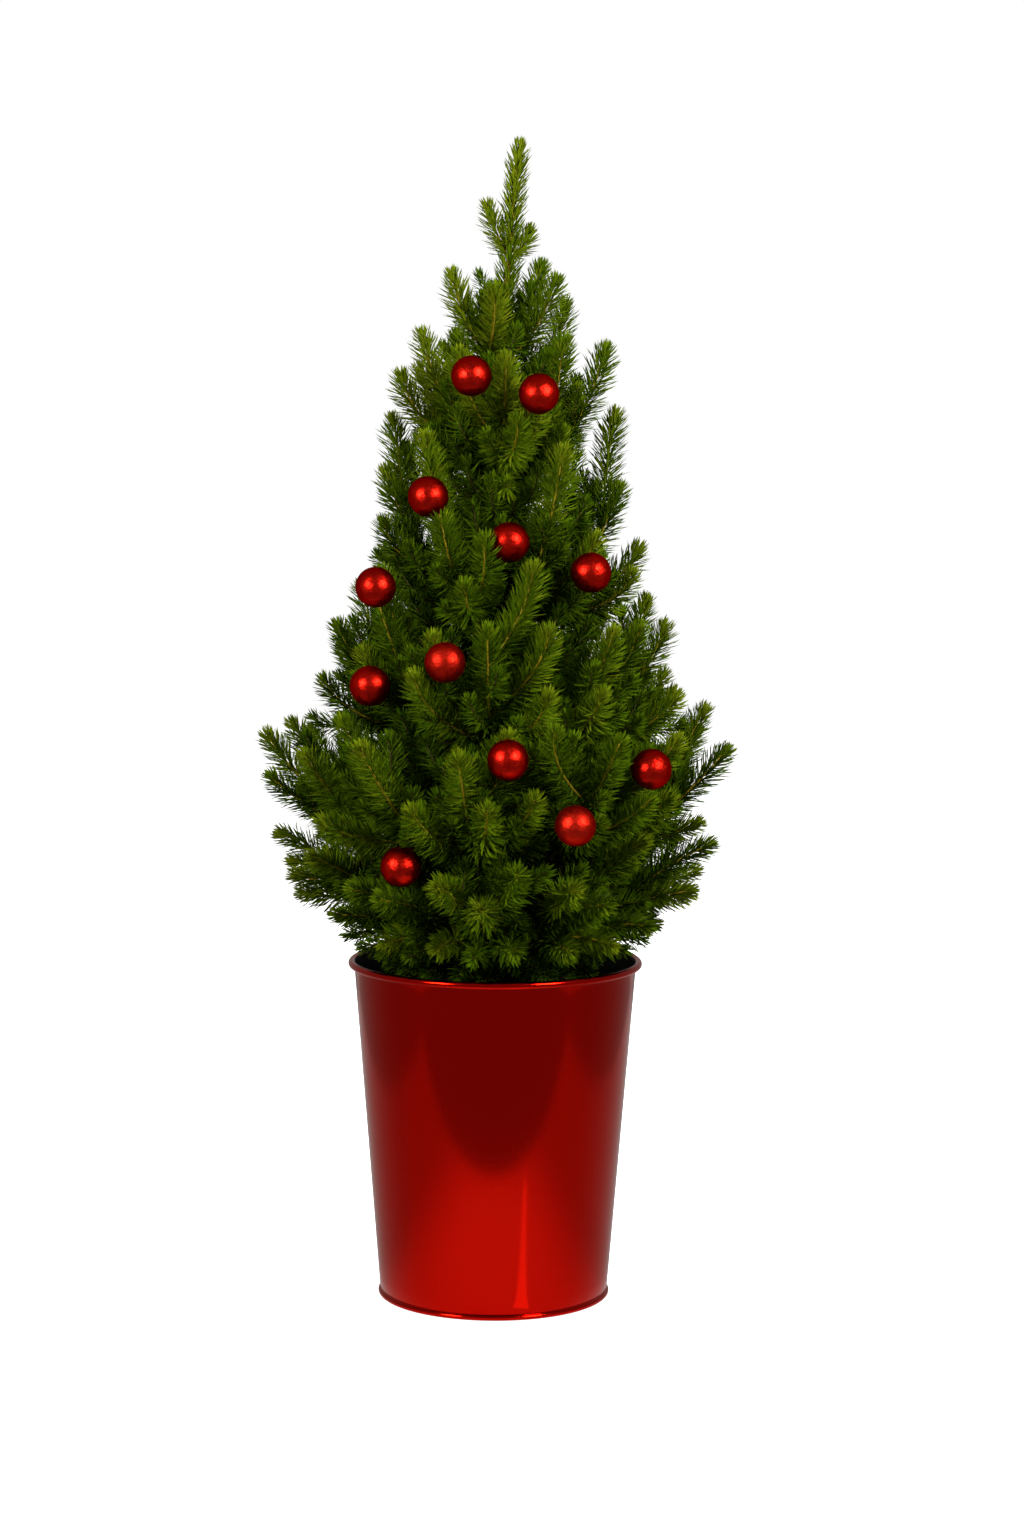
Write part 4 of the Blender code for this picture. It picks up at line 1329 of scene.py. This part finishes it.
# %% [markdown]
# Baubles are light balls wrapped in satin red foil, which is faintly creased. One ball is modelled
# and then copied. It starts as a round ball, its pole is drawn out into a short neck where the cap
# sits, and a broad noise makes it a touch uneven, as the real ones are.
# %% One bauble
FOILS = {"satin_foil": ((0.40, 0.007, 0.003), 0.3, (0.40, 0.02, 0.01, 1.0), (0.26, 0.42)),
         "dull_foil": ((0.38, 0.010, 0.004), 0.45, (0.30, 0.02, 0.01, 1.0), (0.36, 0.52))}
foils = []
for name, (red, roughness, tint, spread) in FOILS.items():
    foil = plain_material(name, red, roughness, 1.0, more={"Specular Tint": tint})
    vary_roughness(foil, 420.0, *spread)
    add_relief(foil, 330.0, 0.85, 0.50 * MM, 5.0)
    foils.append(foil)
satin_foil, dull_foil = foils
cap_metal = plain_material("cap_metal", (0.30, 0.03, 0.015), 0.35, 1.0)
vary_roughness(cap_metal, 500.0, 0.3, 0.45)
CAP_RADIUS = 2.4 * MM
CAP_HEIGHT = 2.2 * MM
CAP_LINE = 0.1 * MM
CAP_TAPER = (0.9, 0.9, 0.4)
CAP_FROM = BAUBLE_RADIUS * math.cos(math.asin(CAP_RADIUS / BAUBLE_RADIUS))
BALL_SIDES = 36
BALL_RINGS = 24
DENT_SIZE = 14.0 * MM
DENT_DEPTH = 0.35 * MM
select_only()
bpy.ops.mesh.primitive_uv_sphere_add(segments=BALL_SIDES, ring_count=BALL_RINGS, radius=BAUBLE_RADIUS)
pattern_ball = bpy.context.object
select_faces(pattern_ball, lambda face: face.center.z > CAP_FROM)
bpy.ops.mesh.extrude_region_move(TRANSFORM_OT_translate={"value": (0.0, 0.0, CAP_HEIGHT)})
bpy.ops.transform.resize(value=CAP_TAPER, center_override=(0.0, 0.0, BAUBLE_RADIUS + CAP_HEIGHT))
bpy.ops.object.mode_set(mode="OBJECT")
displace(pattern_ball, "dents", "CLOUDS", DENT_SIZE, DENT_DEPTH, 0.5)
apply_modifiers(pattern_ball)
pattern_ball.data.materials.append(satin_foil)
pattern_ball.data.materials.append(cap_metal)
for face in pattern_ball.data.polygons:
    face.material_index = int(face.center.z > BAUBLE_RADIUS + CAP_LINE)
pattern_ball.data.shade_smooth()
print("corners of a bauble:", len(pattern_ball.data.vertices))

# %% [markdown]
# Each bauble is held by a short wire from the nearest twig behind it, with its cap turned inwards,
# so none of the caps shows, as in the photograph. The pattern ball is copied, turned that way and
# set down. Some take the duller foil, as some of the real ones shine less.
# %% Hang the baubles
wire = plain_material("green_wire", (0.012, 0.026, 0.004), 0.6, more={"Specular IOR Level": 0.1})
vary_roughness(wire, 300.0, 0.5, 0.7)
all_points = np.array([tuple(point) for shoot in growth for point in shoot.line])
INWARD_SHARE = 0.75
INWARD_RISE = 0.3
FAR = 1.0
DULL_BAUBLES = (7, 11, 14, 17, 20, 23, 25)
WIRE_RADIUS = 0.35 * MM
WIRE_START = BAUBLE_RADIUS + 0.6 * CAP_HEIGHT
WIRE_BOW = Vector((0, 0, MM))
WIRE_SIDES = 5
wire_tubes = []
for number, centre in enumerate(bauble_centres, 1):
    runs = all_points - np.array(centre)
    spans = np.linalg.norm(runs, axis=1)
    reach = centre.to_2d().length
    inwards = np.array((-centre.x, -centre.y, INWARD_RISE * reach)) / reach
    behind = runs @ inwards > INWARD_SHARE * spans
    spans[(spans < BAUBLE_RADIUS + CAP_HEIGHT + MM) | ~behind] = FAR
    anchor = Vector(all_points[int(spans.argmin())])
    ball = pattern_ball.copy()
    ball.data = pattern_ball.data.copy()
    bpy.context.scene.collection.objects.link(ball)
    way = (anchor - centre).normalized()
    ball.rotation_euler = way.to_track_quat("Z", "Y").to_euler()
    ball.location = centre
    settle(ball, f"bauble_{number}")
    if number in DULL_BAUBLES:
        ball.data.materials[0] = dull_foil
    add_to_plant(ball, "bauble")
    start = centre + way * WIRE_START
    wire_line = [start, (start + anchor) / 2 + WIRE_BOW, anchor]
    wire_tubes.append(tube_arrays(wire_line, [WIRE_RADIUS] * len(wire_line), WIRE_SIDES))
bpy.data.objects.remove(pattern_ball)
add_mesh(joined_tubes("bauble_wires", wire_tubes, [0] * len(wire_tubes)), "bauble", (wire,))
print("baubles hung:", len(bauble_centres))

# %% [markdown]
# Last, the boxes of the solid and of the dressed plant are measured, and the tops of both are
# printed.
# %% Measure the boxes and print their tops
select_only()
boxes = {"solid": SOLID_BOX, "visual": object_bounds()}
{key: [list(corner) for corner in box] for key, box in boxes.items()}
print("tops in mm:", {key: round(box[1].z / MM, 1) for key, box in boxes.items()})
